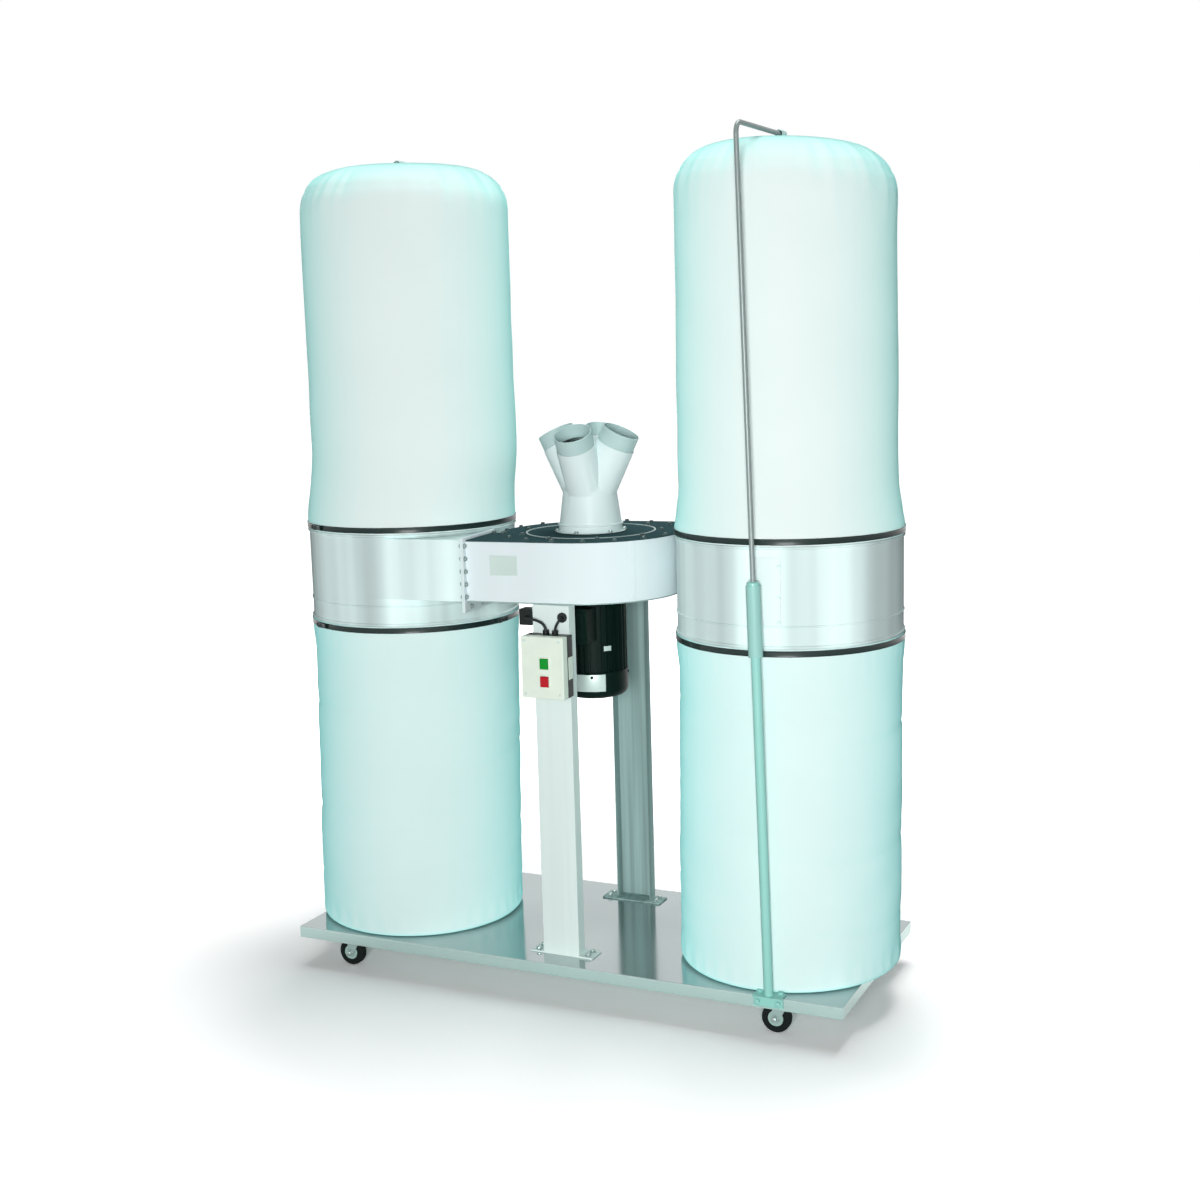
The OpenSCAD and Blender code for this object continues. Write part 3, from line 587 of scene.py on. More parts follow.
# %% Finishes for the CAD solids
kept = {
    "base_plate": ("base_steel_with_painted_lit_edges", 0.0016), "front_post": ("front_post_paint", 0.0012),
    "rear_post": ("rear_post_paint", 0.0012), "caster_plates": ("fork_steel", 0.0008),
    "blower_wall": ("casing_paint", 0.0010), "blower_floor": ("blower_floor_paint", 0.0008),
    "blower_cover": ("cover_paint", 0.0010), "inlet_collar": ("inlet_paint", 0.0005),
    "inlet_manifold": ("inlet_paint", 0.0006), "left_drum": ("drum_paint", 0.0008),
    "right_drum": ("drum_paint", 0.0008), "hanger_brackets": ("hanger_paint", 0.0012),
    "hanger_tubes": ("hanger_paint", 0.0008), "hanger_rods": ("rod_steel", 0.0005),
    "hanger_sleeves": ("sleeve_paint", 0.0008), "motor_body": ("motor_paint", 0.0008),
    "motor_cowl": ("motor_paint", 0.0008), "terminal_box": ("motor_paint", 0.0020),
    "switch_back": ("black_plastic", 0.0025), "switch_cover": ("pale_plastic", 0.0022),
    "start_button": ("green_plastic", 0.0010), "stop_button": ("red_plastic", 0.0010),
    "post_grommet": ("lead_rubber", 0.0006), "supply_inlet": ("black_plastic", 0.0015),
    "cable_glands": ("black_plastic", 0.0008),
}
for side_name in ("front", "right", "rear", "left"):
    kept[side_name + "_spigot"] = ("spigot_paint_with_painted_shade", 0.0005)
for corner in corners:
    kept[corner + "_fork"] = ("fork_steel", 0.0006)
    kept[corner + "_hub"] = ("hub_plastic", 0.0008)
    kept[corner + "_tyre"] = ("tyre_rubber", 0.0010)
for name, (finish_name, edge) in kept.items():
    solid = nodes[name]
    dress(solid, finish_name)
    tune(solid.modifiers.new("weld", "WELD"), merge_threshold=0.00002)
    tune(solid.modifiers.new("flat", "DECIMATE"), decimate_type="DISSOLVE", angle_limit=math.radians(0.3))
    tune(solid.modifiers.new("edge", "BEVEL"), width=edge, segments=2, limit_method="ANGLE",
         angle_limit=math.radians(40))
    tune(solid.modifiers.new("shading", "WEIGHTED_NORMAL"), keep_sharp=False)
print("solids kept:", len(kept), "of", len(nodes))

# %% [markdown]
# A filter bag is a tube of felt with a round top panel sewn in, and it widens at the bottom over the drum's
# rim, where a band clamps it. Lofting rings of points from a profile gives the clean shape with even quads
# that the cloth simulation needs, for both kinds of bag.

# %% Function: a lofted shell
def loft(name, profile, centre, sides=144):
    """A round shell from (radius, height) pairs, with a UV map called cloth in metres of fabric."""
    run = [0.0]
    for (r0, z0), (r1, z1) in zip(profile, profile[1:]):
        run.append(run[-1] + math.hypot(r1 - r0, z1 - z0))
    points = []
    for r, z in profile:
        for k in range(sides):
            a = 2 * math.pi * k / sides
            points.append((centre[0] + r * math.cos(a), centre[1] + r * math.sin(a), z))
    last = (len(profile) - 1) * sides
    faces = [(low + k, low + (k + 1) % sides, low + sides + (k + 1) % sides, low + sides + k)
             for low in range(0, last, sides) for k in range(sides)]
    faces += [(last + k, last + (k + 1) % sides, len(points)) for k in range(sides)]
    points.append((centre[0], centre[1], profile[-1][1]))
    mesh = bpy.data.meshes.new(name)
    mesh.from_pydata(points, [], faces)
    girth = 2 * math.pi * max(r for r, z in profile)
    layer = mesh.uv_layers.new(name="cloth")
    for face in mesh.polygons:
        at_seam = max(face.vertices[:2]) % sides == sides - 1
        for loop in face.loop_indices:
            v = mesh.loops[loop].vertex_index
            k = v % sides
            if k == 0 and at_seam:
                k = sides
            layer.data[loop].uv = (girth * k / sides, run[min(v // sides, len(run) - 1)])
    piece = bpy.data.objects.new(name, mesh)
    bpy.context.scene.collection.objects.link(piece)
    return piece


def spaced(profile, step):
    """The same profile with points no further than step apart."""
    dense = [profile[0]]
    for (r0, z0), (r1, z1) in zip(profile, profile[1:]):
        count = max(1, round(math.hypot(r1 - r0, z1 - z0) / step))
        dense += [(r0 + (r1 - r0) * i / count, z0 + (z1 - z0) * i / count) for i in range(1, count + 1)]
    return dense


shoulder_h = 0.123
filter_top = drum_high_z + 0.951
shoulder_z = filter_top - shoulder_h


def filter_profile(widest):
    """The outline of a filter bag whose free part has the given radius."""
    spare = cuff_r - widest
    rise = [(widest * math.cos(math.radians(t)) ** (2 / 4.5),
             shoulder_z + shoulder_h * math.sin(math.radians(t)) ** (2 / 2.2)) for t in range(0, 86, 5)]
    return spaced([(cuff_r - 0.0006, drum_high_z - cuff_h), (cuff_r - 0.0002, drum_high_z + 0.002),
                   (widest + 0.6 * spare, drum_high_z + 0.034), (widest + 0.2 * spare, drum_high_z + 0.100)]
                  + rise + [(0.012, filter_top - 0.0006)], 0.014)


print("filter bag profile:", len(filter_profile(0.275)), "rings, top at", round(filter_top, 3))

# %% [markdown]
# Real cloth never hangs perfectly. The bag gets shallow dents that run round it, short puckers that start
# at the shoulder seam and die out above and below, and gathers just above the clamp. All of them are
# smooth, seeded waves, so the same bag comes out each time, and each side has its own seed.

# %% Function: shape the cloth
def wander(seed, a, z, around_scale, high_scale):
    """Smooth noise on a cylinder, from -1 to 1, that joins up all the way round."""
    x, y = math.cos(a) * around_scale + seed, math.sin(a) * around_scale
    return noise.noise(Vector((x, y, z * high_scale)))


def ease(x, low, high):
    """0 below low, 1 above high, smooth between."""
    t = min(1.0, max(0.0, (x - low) / (high - low)))
    return t * t * (3 - 2 * t)


def bell(x, middle, width):
    """1 at the middle, falling to nothing a few widths away."""
    return math.exp(-((x - middle) / width) ** 2)


def shape_cloth(piece, centre, push, sway):
    """Moves every point out and up by push(angle, height), then by sway(across, height)."""
    for v in piece.data.vertices:
        dx, dy = v.co.x - centre[0], v.co.y - centre[1]
        r = math.hypot(dx, dy)
        aside = Vector(sway(dx, v.co.z))
        if r > 1e-5:
            out, up = push(math.atan2(dy, dx), v.co.z)
            v.co.x += dx / r * out
            v.co.y += dy / r * out
            v.co.z += up
        v.co += aside
    piece.data.update()


def filter_push(seed):
    """How far a filter bag's cloth stands out and up at an angle and height."""
    def push(a, z):
        free = ease(z, drum_high_z + 0.012, drum_high_z + 0.10)
        top = ease(z, shoulder_z - 0.16, shoulder_z + 0.02)
        top *= 1 - ease(z, shoulder_z + 0.085, filter_top - 0.004)
        folds = 0.0030 * wander(seed, a, z, 1.1, 2.6) + 0.0016 * wander(seed + 9, a, z, 2.4, 9.0)
        pucker = wander(seed + 3, a, z, 9.0, 1.5) + 0.8 * wander(seed + 5, a, z, 17.0, 2.5)
        pucker *= 0.0036 * top
        tuck = 0.0016 * bell(z, drum_high_z + 0.035, 0.028)
        tuck *= math.sin(70 * a + 3 * wander(seed + 7, a, 0, 3.0, 0))
        seam = 0.0022 * bell(z, shoulder_z + 0.055, 0.0045)
        return free * (folds - seam) + pucker + tuck - 0.001 * top, 0.5 * pucker
    return push


print("cloth shaping ready; a sample dent is", round(1000 * wander(1, 0.5, 1.5, 1.1, 2.6) * 3.0, 2), "mm")

# %% [markdown]
# Blender's Cloth then relaxes the shaped shell under a little air pressure, so that the puckers and the
# panel meet as fabric does. The cuff is pinned where the band holds it. The result of a few frames is kept
# within a few millimetres of the start, and no live Cloth is left. The shell then gets its thickness.

# %% Function: relax under pressure, and give a thickness
def relax(piece, pinned_below, pressure, frames, cap):
    """Runs Cloth on a copy of the shape, moves each point at most cap towards the result, and keeps it."""
    before = [v.co.copy() for v in piece.data.vertices]
    group = piece.vertex_groups.new(name="pinned")
    group.add([v.index for v in piece.data.vertices if v.co.z < pinned_below], 1.0, "REPLACE")
    pick(piece)
    modifier = piece.modifiers.new("cloth", "CLOTH")
    tune(modifier.settings, quality=6, mass=0.4, air_damping=4.0, tension_stiffness=30,
         compression_stiffness=30, shear_stiffness=12, bending_stiffness=1.2, vertex_group_mass="pinned",
         use_pressure=True, uniform_pressure_force=pressure)
    modifier.settings.effector_weights.gravity = 0
    modifier.collision_settings.use_collision = False
    tune(modifier.point_cache, frame_start=1, frame_end=frames)
    for frame_number in range(1, frames + 1):
        bpy.context.scene.frame_set(frame_number)
    after = piece.evaluated_get(bpy.context.evaluated_depsgraph_get()).data.vertices
    moves = [after[i].co - before[i] for i in range(len(before))]
    piece.modifiers.remove(modifier)
    bpy.context.scene.frame_set(1)
    for v, old, move in zip(piece.data.vertices, before, moves):
        v.co = old + (move if move.length < cap else move.normalized() * cap)
    piece.vertex_groups.clear()
    piece.data.update()
    print(piece.name, "relaxed; furthest move", round(1000 * max(m.length for m in moves), 1), "mm")


def thicken(piece, thickness):
    """Gives an open shell its thickness inwards, and a smooth surface."""
    apply(piece, "SOLIDIFY", thickness=thickness, offset=-1.0)
    smooth(piece, 60)


# %% [markdown]
# Both filter bags follow the same outline, and the left one, which is blown up harder, is a little wider
# and leans out. A folded loop on the top panel holds each bag up on the arm of its hanger: a strap round
# the arm, modelled as a short open tube pressed flat where it meets the panel.

# %% Filter bags
felt_t = 0.0016
arm_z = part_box("hanger_rods")[1].z - 0.006
arm_x = hanger_x - (arm_z - base_top - 0.004) * hanger_lean
for side, side_name, widest, aside, sag, slope in ((1, "right", 0.273, -0.003, 0.008, 0.040),
                                                   (-1, "left", 0.283, 0.018, 0.0, 0.0)):
    centre = (side * column_x, 0.0)
    bag = loft(side_name + "_bag_cloth", filter_profile(widest), centre)

    def hang(across, z):
        high = ease(z, drum_high_z + 0.25, shoulder_z + 0.05)
        drop = sag + slope * across + 3 * slope * across ** 2
        return aside * ease(z, drum_high_z + 0.004, drum_high_z + 0.20), 0.0, -high * drop

    shape_cloth(bag, centre, filter_push(2.0 + side), hang)
    relax(bag, drum_high_z + 0.016, pressure=0.9, frames=12, cap=0.006)
    thicken(bag, felt_t)
    put(bag, "filter_felt", stands_for=[side_name + "_filter_bag"])
    loop = disc(side_name + "_bag_loop", 32, 0.0085, 0.034, half_turn((arm_x, 0, arm_z), side),
                (math.pi / 2, 0, 0), "NOTHING")
    for v in loop.data.vertices:
        if v.co.z < arm_z - 0.004:
            v.co.z = min(v.co.z, filter_top - sag + 0.0012)
    apply(loop, "SOLIDIFY", thickness=felt_t, offset=1.0)
    soften(loop, 0.0004, 1, 50)
    put(loop, "sewing_thread")

# %% [markdown]
# The dust bags hang from the drums' lower rims and stand on the base, and their weight pushes them a little
# towards its front edge. Their cloth is thinner, so it shows more: creases where the bag has folded,
# gathers below the band, and a tight lower corner with a round panel.

# %% Dust bags
dust_r = 0.287
dust_cloth_t = 0.0012
corner_r = 0.018
dust_low = base_top + 0.0008
corner_arc = [(dust_r - corner_r * (1 - math.sin(math.radians(t))),
               dust_low + corner_r * (1 - math.cos(math.radians(t)))) for t in range(90, -1, -15)]
dust_profile = spaced([(cuff_r - 0.0006, drum_low_z + cuff_h), (cuff_r - 0.0004, drum_low_z - 0.004),
                       (dust_r + 0.0005, drum_low_z - 0.050)] + corner_arc + [(0.014, dust_low)], 0.011)
# Each crease: its height over the base, where it is deepest, how far round it runs and its depth.
creases = ((0.62, 0.6, 0.9, 0.0030), (0.47, 2.2, 1.1, 0.0022), (0.33, 0.2, 1.0, 0.0028),
           (0.24, 3.6, 1.0, 0.0024), (0.70, 4.4, 1.3, 0.0022), (0.14, 5.4, 1.0, 0.0024))


def dust_push(seed):
    """How far a dust bag's cloth stands out at an angle and height."""
    def push(a, z):
        free = ease(drum_low_z - 0.004 - z, 0.0, 0.09)
        standing = ease(z, base_top + 0.002, base_top + 0.030)
        folds = -0.0035 * abs(wander(seed, a, z, 1.2, 3.0)) + 0.0015 * wander(seed + 4, a, z, 2.0, 12.0)
        folds += 0.0013 * wander(seed + 11, a, z, 2.6, 28.0)
        for height, at, width, deep in creases:
            line = base_top + height + 0.012 * math.sin(2 * a + seed + at)
            round_by = math.cos((a - at - seed) / 2) ** 2
            folds -= deep * ease(round_by, 1 - width / 2, 1) * bell(z, line, 0.010)
        tuck = 0.0014 * bell(z, drum_low_z - 0.030, 0.030)
        tuck *= math.sin(64 * a + 4 * wander(seed + 7, a, 0, 3.0, 0))
        lower = 0.0018 * bell(z, base_top + 0.030, 0.03)
        lower *= math.sin(38 * a + 5 * wander(seed + 8, a, 0, 2, 0))
        return min(0.0005, free * standing * (folds - 0.001)) + tuck + lower * standing, 0.0
    return push


for side, side_name, lean_out in ((1, "right", 0.020), (-1, "left", 0.027)):
    centre = (side * column_x, 0.0)
    bag = loft(side_name + "_dust_cloth", dust_profile, centre)
    shape_cloth(bag, centre, dust_push(5.0 + side),
                lambda across, z: (0.0, -lean_out * (1 - ease(z, base_top + 0.05, drum_low_z - 0.02)), 0.0))
    edit(bag, faces=lambda c, n: True)
    bpy.ops.mesh.normals_make_consistent(inside=False)
    done()
    thicken(bag, dust_cloth_t)
    put(bag, "dust_bag_cloth", stands_for=[side_name + "_dust_bag"])

# %% [markdown]
# Each end of a drum has a clamp band of black spring steel round the cloth. It starts as a short tube whose
# rims are pulled out a little, and a thickness and a bevel give it its rolled look.

# %% Clamp bands
band_h = 0.014
for name, height in (("upper", upper_band_z), ("lower", lower_band_z)):
    bands = []
    for side in (1, -1):
        middle = (side * column_x, 0, height)
        band = disc(name + "_bands", 144, cuff_r + 0.0004, band_h, middle, ends="NOTHING")
        edit(band, edges=lambda e: abs(e.verts[0].co.z - e.verts[1].co.z) < 1e-6)
        bpy.ops.mesh.extrude_region_move(TRANSFORM_OT_translate={"value": (0, 0, 0)})
        bpy.ops.transform.resize(value=(1.0022, 1.0022, 1.10), center_override=middle)
        done()
        apply(band, "SOLIDIFY", thickness=0.0013, offset=1.0)
        soften(band, 0.0003)
        bands.append(band)
    put(join(bands), "clamp_paint", stands_for=[name + "_clamps"])

# %% [markdown]
# An over-centre latch draws each band tight: a folded lever, with a wire bail hooked over a small catch. It
# is modelled once and copied to six places, one on each upper band and two on each lower one.

# %% Latches
lever = block("lever", (0.034, 0.012, 0.0045))
inset(lever, UP, (0.0022, -0.0016))
edit(lever, faces=lambda c, n: n.x > 0.9)
bpy.ops.mesh.extrude_region_move(TRANSFORM_OT_translate={"value": (0.006, 0, 0.0015)})
bpy.ops.transform.resize(value=(1, 0.75, 0.4))
done()
soften(lever, 0.0006)
bail_x = -0.022
bail = hoop("bail", 0.0062, 0.0011, 24, 8, (bail_x, 0, 0.0010))
edit(bail, edges=lambda e: (e.verts[0].co.x + e.verts[1].co.x) / 2 > bail_x)
bpy.ops.transform.translate(value=(0.010, 0, 0))
done()
smooth(bail, 60)
catch = block("catch", (0.007, 0.010, 0.004), (-0.0285, 0, 0.0008))
soften(catch, 0.0012, 3)
join([lever, bail, catch])
latch_places = []
for side in (1, -1):
    for height, turn in ((upper_band_z, 60), (lower_band_z, 60), (lower_band_z, 175)):
        turn += 0 if side > 0 else 180
        place = around(cuff_r + 0.0045, turn, height, (side * column_x, 0))
        latch_places.append((place, around(1, turn, 0), 0))
fasten(lever, latch_places, "band_latches", "clamp_paint")
clear_away(lever)

# %% [markdown]
# Everything bolted uses the same few fasteners. Each is modelled once, pointing up at the origin: a
# chamfered hex bolt over a washer, a pan-head screw with a round recess, and a low domed rivet.

# %% Fastener models
def hex_bolt(name, across, height):
    """A hex head of a given width across its corners, on its washer."""
    washer_t = 0.0012
    head = disc(name, 6, across / 2, height, (0, 0, washer_t + height / 2))
    inset(head, UP, (across * 0.09, across * 0.05))
    washer = disc("washer", 20, across * 0.64, washer_t, (0, 0, washer_t / 2))
    join([head, washer])
    soften(head, 0.0003, 1)
    return head


def screw(name, width):
    """A pan-head screw with a round recess."""
    head = disc(name, 16, width / 2, width * 0.3, (0, 0, width * 0.15))
    inset(head, UP, (width * 0.14, width * 0.06), (width * 0.16, 0), (width * 0.04, -width * 0.14))
    smooth(head)
    return head


def rivet(name, width):
    """A low domed rivet."""
    bpy.ops.object.select_all(action="DESELECT")
    bpy.ops.mesh.primitive_uv_sphere_add(segments=14, ring_count=8, radius=width / 2)
    head = start(name)
    edit(head, faces=lambda c, n: True)
    bpy.ops.mesh.bisect(plane_co=(0, 0, 0), plane_no=(0, 0, 1), clear_inner=True, use_fill=True)
    bpy.ops.mesh.select_all(action="SELECT")
    bpy.ops.transform.resize(value=(1, 1, 0.55))
    done()
    smooth(head, 50)
    return head


bolt_m8 = hex_bolt("bolt_m8", 0.015, 0.0053)
bolt_m6 = hex_bolt("bolt_m6", 0.0115, 0.0040)
screw_m4 = screw("screw_m4", 0.0075)
rivet_4 = rivet("rivet_4", 0.0085)
print("bolt triangles:", sum(len(p.vertices) - 2 for p in bolt_m6.data.polygons))

# %% [markdown]
# Each duct is bolted to its drum through a pair of lips that stand out from the sheet, in two upright
# columns with a row below, and each bolt has a nut behind it.

# %% Joint bolts
lip_t = 0.004
spots = [(across, blower_bottom + 0.014 + 0.0335 * i)
         for across in (duct_front + 0.0095, duct_back - 0.0095) for i in range(5)]
spots += [(duct_back + duct_w * f, blower_bottom - 0.0140) for f in (0.12, 0.5, 0.88)]
joint_places = []
for side in (1, -1):
    along = (duct_point(side, 1, 0, 0) - duct_point(side, 0, 0, 0)).normalized()
    for across, height in spots:
        joint_places.append((duct_point(side, duct_joint - lip_t, across, height), -along, 15))
        joint_places.append((duct_point(side, duct_joint + lip_t, across, height), along, 0))
fasten(bolt_m6, joint_places, "joint_bolts", "dull_steel")

# %% [markdown]
# The drum is one rolled sheet whose ends overlap at the back, with a column of rivets through the lap. A
# narrow strip cut from a short tube shows the lap.

# %% Drum laps and rivets
sheet_t = 0.0010


def curved_plate(name, centre, radius, low, high, start_angle, end_angle, thickness, segments=240):
    """A strip cut from a tube about an upright axis, between two angles in degrees."""
    plate = disc(name, segments, radius, high - low, (centre[0], centre[1], (low + high) / 2), ends="NOTHING")
    middle, half = (start_angle + end_angle) / 2, (end_angle - start_angle) / 2

    def outside(c, n):
        angle = math.degrees(math.atan2(c.y - centre[1], c.x - centre[0]))
        return abs((angle - middle + 180) % 360 - 180) > half

    edit(plate, faces=outside)
    bpy.ops.mesh.delete(type="FACE")
    done()
    apply(plate, "SOLIDIFY", thickness=thickness, offset=1.0)
    soften(plate, thickness * 0.3, angle_limit=math.radians(50))
    return plate


laps, rivet_places = [], []
for side, turn in ((1, 62), (-1, 118)):
    centre = (side * column_x, 0)
    laps.append(curved_plate("drum_laps", centre, drum_r, drum_low_z + 0.080, drum_high_z - 0.031,
                             turn - 3, turn + 3, sheet_t))
    rivet_places += [(around(drum_r + sheet_t, turn, drum_low_z + 0.092 + i * 0.0275, centre),
                      around(1, turn, 0), 0) for i in range(7)]
put(join(laps), "drum_paint")
fasten(rivet_4, rivet_places, "drum_rivets", "bright_steel")

# %% [markdown]
# The blower's dark cover carries a ring, pressed a little flat on top, whose paler paint is a painted
# highlight along the cover's raised edge, and hex bolts hold it down round its rim. Two more seams show on
# the casing: the lap where the wall's sheet ends, and a bare plate on the left duct.

# %% Cover ring, cover bolts, bare plate and casing lap
ring = hoop("cover_ring", 0.172, 0.0026, 144, 12, (0, 0, blower_top + 0.0004))
edit(ring, faces=lambda c, n: n.z > 0.8)
bpy.ops.transform.translate(value=(0, 0, -0.0010))
done()
smooth(ring, 70)
put(ring, "ring_painted_highlight")
cover_spots = [(around(0.189, 20 + 40 * i, blower_top), UP, 17 * i) for i in range(9)]
cover_spots += [(around(0.2365, 10 + 20 * i, blower_top), UP, 11 * i) for i in range(18)]
cover_spots += [(duct_point(side, along, duct_back + duct_w * 0.07, blower_top), UP, 9)
                for side in (1, -1) for along in (0.215, 0.245)]
fasten(bolt_m6, cover_spots, "cover_bolts", "dark_steel")
blank = block("bare_plate", (0.078, 0.0012, 0.052))
inset(blank, FRONT, (0.0035, -0.0004))
soften(blank, 0.0004)
blank.data.transform(Matrix.Translation(duct_point(-1, 0.150, duct_front + 0.0006, blower_bottom + 0.098))
                     @ Matrix.Rotation(duct_turn, 4, "Z"))
put(blank, "plate_steel")
lap = curved_plate("casing_lap", (0, 0), blower_r, blower_bottom + 0.003, blower_top - 0.003,
                   318, 322, sheet_t)
put(lap, "casing_paint")

# %% [markdown]
# The inlet is bolted down through the flange of its collar, over a thin dark gasket. Each spigot ends in a
# rolled bead that keeps the hose clip on.

# %% Inlet bolts, gasket and beads
fasten(bolt_m6, [(around(0.0892, 30 + 60 * i, blower_top + 0.0030), UP, 8 * i) for i in range(6)],
       "collar_bolts", "bright_steel")
gasket = curved_plate("collar_gasket", (0, 0), 0.0932, blower_top, blower_top + 0.0018, -181, 181, 0.0012, 96)
put(gasket, "lead_rubber")
branch_tilt, branch_z, bead_out = math.radians(26), blower_top + 0.068, 0.181 + 0.0392
beads = []
for turn in (0, 90, 180, 270):
    bead = hoop("spigot_beads", 0.0489, 0.0011, 72, 8, (0, 0, bead_out))
    bead.data.transform(Matrix.Translation((0, 0, branch_z)) @ Matrix.Rotation(math.radians(turn), 4, "Z")
                        @ Matrix.Rotation(branch_tilt, 4, "Y"))
    smooth(bead, 70)
    beads.append(bead)
put(join(beads), "spigot_paint_with_painted_shade")

# %% [markdown]
# The front and rear posts stand on feet, and each foot is held by four bolts through its flanges.

# %% Post bolts
fasten(bolt_m8, [((x, y_side * y, base_top + 0.004), UP, 7 + 100 * x)
                 for y_side in (-1, 1) for x in (-0.072, 0.072) for y in (0.242, 0.214)],
       "post_bolts", "bright_steel")

# %% [markdown]
# Screws hold the motor's fan cowl, four bolts hold its flange, and the open bottom of the cowl has a wire
# guard of rings and spokes. A curved blank plate is fixed to the cowl, and a smaller one to the ribs.

# %% Motor guard, plates and screws
cowl_low, cowl_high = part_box("motor_cowl")
wire_r = 0.0013
guard = [hoop("cowl_guard", radius, wire_r, 56, 6, (0, 0, cowl_low.z - 0.0006))
         for radius in (0.018, 0.034, 0.050, 0.064)]
guard += [disc("cowl_guard", 8, wire_r, 0.130, (0, 0, cowl_low.z - 0.0012),
               (0, math.pi / 2, math.radians(turn))) for turn in range(0, 180, 45)]
smooth(join(guard), 60)
put(guard[0], "dark_steel")
fasten(screw_m4, [(around(motor_r - 0.0002, a, cowl_high.z - 0.011), around(1, a, 0), 30)
                  for a in (20, 110, 200, 290)], "cowl_screws", "motor_paint")
fasten(bolt_m8, [(around(0.0975, a, blower_bottom - 0.010), DOWN, a)
                 for a in (45, 135, 225, 315)], "flange_bolts", "bright_steel")
for name, radius, below_low, below_high, start_angle, end_angle in (
        ("data_plate", motor_r + 0.0001, 0.260, 0.214, -97, -47),
        ("rib_plate", motor_r - 0.0008, 0.151, 0.138, -48, -35)):
    plate = curved_plate(name, (0, 0), radius, blower_bottom - below_low, blower_bottom - below_high,
                         start_angle, end_angle, 0.0008)
    put(plate, "plate_steel")

# %% [markdown]
# The terminal box on the motor has a lid with a raised rim and four screws.

# %% Terminal lid
term_low, term_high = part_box("terminal_box")
lid_x, lid_z = (term_low.x + term_high.x) / 2, (term_low.z + term_high.z) / 2
lid = block("terminal_lid", (0.094, 0.009, 0.094), (lid_x, term_low.y + 0.0025, lid_z))
inset(lid, FRONT, (0.006, 0.0012), (0.010, 0), (0.002, -0.0012))
soften(lid, 0.0012)
put(lid, "motor_paint")
fasten(screw_m4, [((x, term_low.y - 0.0030, lid_z + z), FRONT, 20) for x in (-0.037, 0.037)
                  for z in (-0.037, 0.037)], "lid_screws", "motor_paint")

# %% [markdown]
# Each push button of the switch box sits in a raised frame, four screws hold the pale cover at its corners,
# and the box's side has a bare pale strip.

# %% Switch frames, screws and side strip
cover_low, cover_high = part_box("switch_cover")
back_low, back_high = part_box("switch_back")
cover_x, cover_z = (cover_low.x + cover_high.x) / 2, (cover_low.z + cover_high.z) / 2
frames = []
for button in ("start_button", "stop_button"):
    low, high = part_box(button)
    middle = (Vector(low) + Vector(high)) / 2
    rim = block("button_frames", (0.0300, 0.0024, 0.0350), (middle.x, cover_low.y - 0.0008, middle.z))
    edit(rim, faces=lambda c, n: abs(n.y) > 0.9)
    bpy.ops.mesh.inset(thickness=0.0034, depth=0)
    bpy.ops.mesh.bridge_edge_loops()
    done()
    soften(rim, 0.0006)
    frames.append(rim)
put(join(frames), "pale_plastic")
fasten(screw_m4, [((cover_x + x, cover_low.y + 0.0002, cover_z + z), FRONT, 10 + 900 * x)
                  for x in (-0.049, 0.049) for z in (-0.069, 0.069)],
       "box_screws", "plate_steel")
strip = block("side_strip", (0.0010, 0.0250, 0.058),
              (back_high.x + 0.0002, (back_low.y + back_high.y) / 2 + 0.001, cover_z - 0.004))
inset(strip, (1, 0, 0), (0.002, -0.0002))
soften(strip, 0.0003)
put(strip, "pale_plastic")

# %% [markdown]
# The two leads are smooth rubber tubes on the routes that the part was drawn with: each leaves its gland
# upright, bends over, and ends in the grommet's hole or the supply block.

# %% Leads
def lead(name, points, radius):
    """A tube on a smooth curve through the points, as a mesh."""
    curve = tune(bpy.data.curves.new(name, "CURVE"), dimensions="3D", bevel_depth=radius, bevel_resolution=4,
                 resolution_u=6, use_fill_caps=True)
    spline = curve.splines.new("NURBS")
    spline.points.add(len(points) - 1)
    for target, point in zip(spline.points, points):
        target.co = (*point, 1)
    tune(spline, order_u=3, use_endpoint_u=True)
    piece = bpy.data.objects.new(name, curve)
    bpy.context.scene.collection.objects.link(piece)
    pick(piece)
    bpy.ops.object.convert(target="MESH")
    return start(name)


lead_r = 0.0035
# The places are (x, y) in the frame and the height over the switch box.
routes = {
    "motor_lead": (
        (0.020, -0.272, 0.001), (0.020, -0.272, 0.011), (0.022, -0.272, 0.021), (0.027, -0.272, 0.030),
        (0.032, -0.270, 0.038), (0.034, -0.264, 0.042), (0.034, -0.256, 0.043), (0.034, -0.245, 0.043),
        (0.032, -0.225, 0.039), (0.026, -0.200, 0.023), (0.016, -0.175, 0.006), (0.007, -0.156, -0.005),
        (0.003, -0.144, -0.009), (0.003, -0.1342, -0.009)),
    "supply_lead": (
        (-0.006, -0.272, 0.001), (-0.006, -0.272, 0.011), (-0.009, -0.272, 0.021), (-0.018, -0.272, 0.030),
        (-0.034, -0.273, 0.036), (-0.052, -0.274, 0.039), (-0.062, -0.272, 0.040), (-0.069, -0.267, 0.040),
        (-0.070, -0.264, 0.040), (-0.070, -0.2612, 0.040)),
}
for name, route in routes.items():
    raised = [(x, y, z + back_high.z) for x, y, z in route]
    rubber = lead(name + "_tube", raised, lead_r)
    smooth(rubber, 60)
    put(rubber, "lead_rubber", stands_for=[name])
    print(name, "is", round(sum(math.dist(a, b) for a, b in zip(raised, raised[1:])), 3), "m long")

# %% [markdown]
# Each hanger is a rod that slides in a tube. The tube stands in a bracket bolted over the base's edge,
# passes through a sleeve strapped to the drum, and ends in a collar with a set screw that locks the rod.

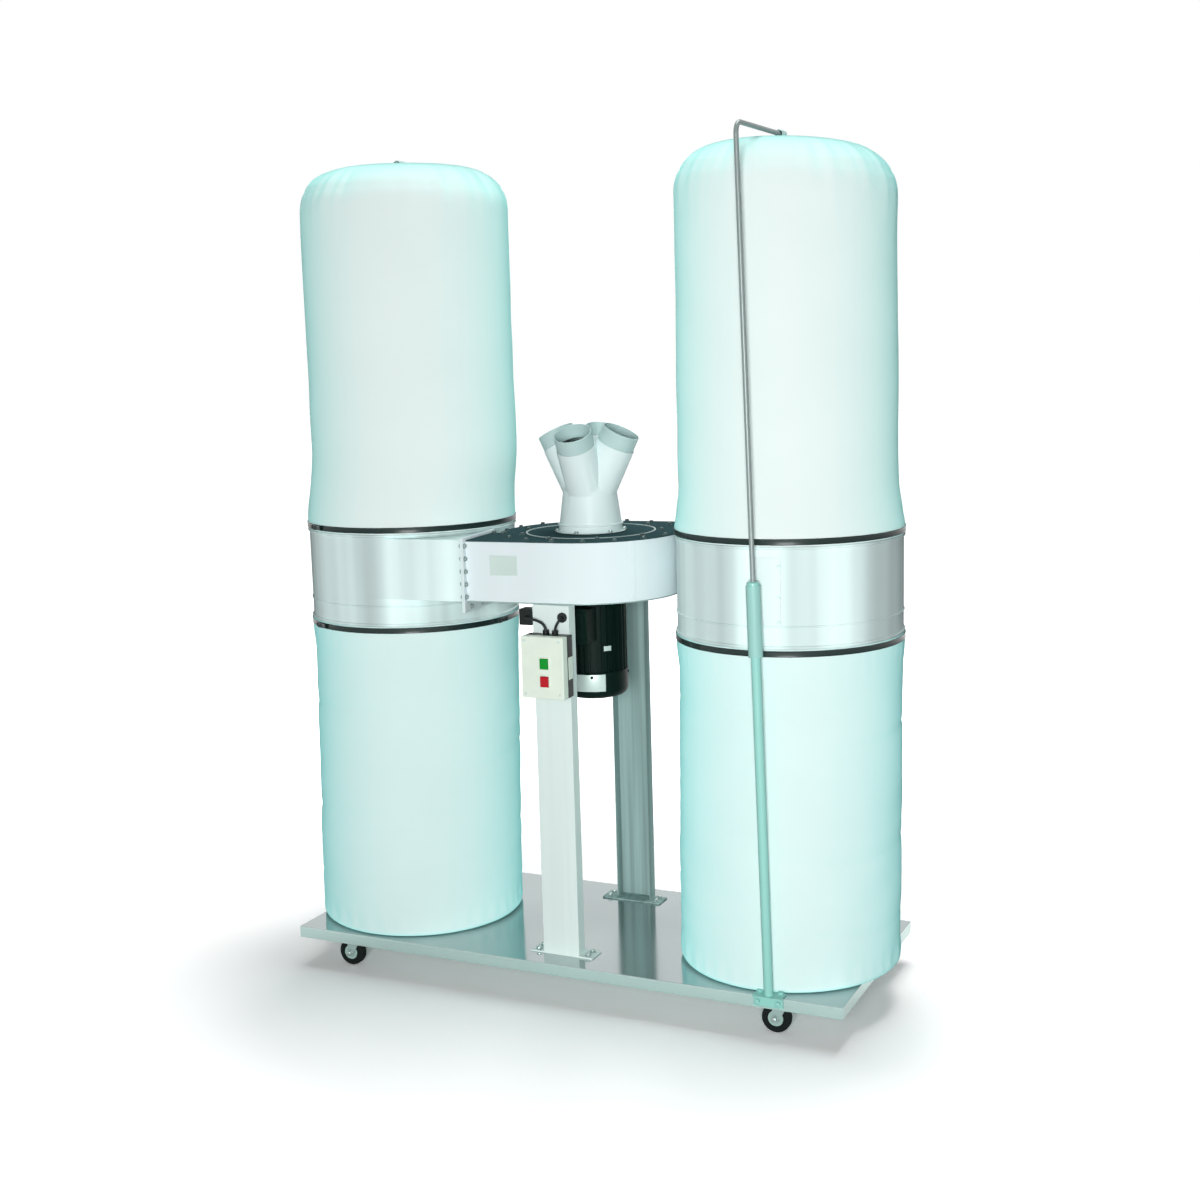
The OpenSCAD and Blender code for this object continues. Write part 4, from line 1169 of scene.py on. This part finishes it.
# %% Hanger bolts, collars and set screws
tube_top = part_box("hanger_tubes")[1].z
top_x = hanger_x - (tube_top - base_top) * hanger_lean
collar_z = tube_top - 0.007
strap_turn = -90 + 13.5
strap_out = around(1, strap_turn, 0)
hanger_bolts, strap_bolts, lock_places = [], [], []
for side in (1, -1):
    outward = (0, -side, 0)
    for x in (hanger_x - 0.027, hanger_x + 0.027):
        hanger_bolts.append((half_turn((x, base_front + 0.014, base_top + 0.004), side), UP, 10))
        hanger_bolts.append((half_turn((x, base_front - 0.004, base_top - 0.013), side), outward, 25))
    for height in (0.085, 0.145, 0.220):
        spot = Vector((column_x, 0, drum_low_z + height)) + strap_out * (drum_r + 0.0033)
        strap_bolts.append((half_turn(spot, side), half_turn(strap_out, side), 20))
    lock_places.append((half_turn((top_x, -0.3302, collar_z), side), outward, 12))
fasten(bolt_m8, hanger_bolts, "bracket_bolts", "hanger_paint")
fasten(bolt_m6, strap_bolts, "strap_bolts", "drum_paint")
collars = [disc("tube_collars", 40, 0.0150, 0.020, half_turn((top_x, hanger_y, collar_z), side))
           for side in (1, -1)]
for collar in collars:
    inset(collar, UP, (0.0025, 0.003))
    soften(collar, 0.0010)
put(join(collars), "hanger_paint")
fasten(bolt_m6, lock_places, "lock_screws", "hanger_paint")

# %% [markdown]
# A wheel's hub is moulded with a sunk web and a raised boss. The web ring is modelled once, copied to both
# faces of each wheel, and turns with it. The axle's hex nuts stay with the fork, and four bolts hold each
# caster's plate.

# %% Caster details
web = disc("web", 40, 0.0192, 0.0012, (0, 0, 0.0006))
inset(web, UP, (0.0024, 0), (0.0006, -0.0009), (0.0056, 0), (0.0006, 0.0009))
smooth(web)
hub_face, nut_face = 0.0122, 0.0192
caster_x, caster_y, plate_under = 0.628, 0.260, 0.107
for corner, (sx, sy) in corners.items():
    low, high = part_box(corner + "_tyre")
    middle = (Vector(low) + Vector(high)) / 2
    fasten(web, [(middle + Vector((0, y * hub_face, 0)), (0, y, 0), 0) for y in (-1, 1)],
           corner + "_web", "hub_plastic", corner + "_wheel")
    fasten(bolt_m8, [(middle + Vector((0, y * nut_face, 0)), (0, y, 0), 10) for y in (-1, 1)],
           corner + "_nuts", "bright_steel", corner + "_swivel")
    fasten(bolt_m6, [((sx * caster_x + x, sy * caster_y + y, plate_under), DOWN, 15)
                     for x in (-0.040, 0.040) for y in (-0.032, 0.032)],
           corner + "_plate_bolts", "bright_steel")
clear_away(web, bolt_m8, bolt_m6, screw_m4, rivet_4)
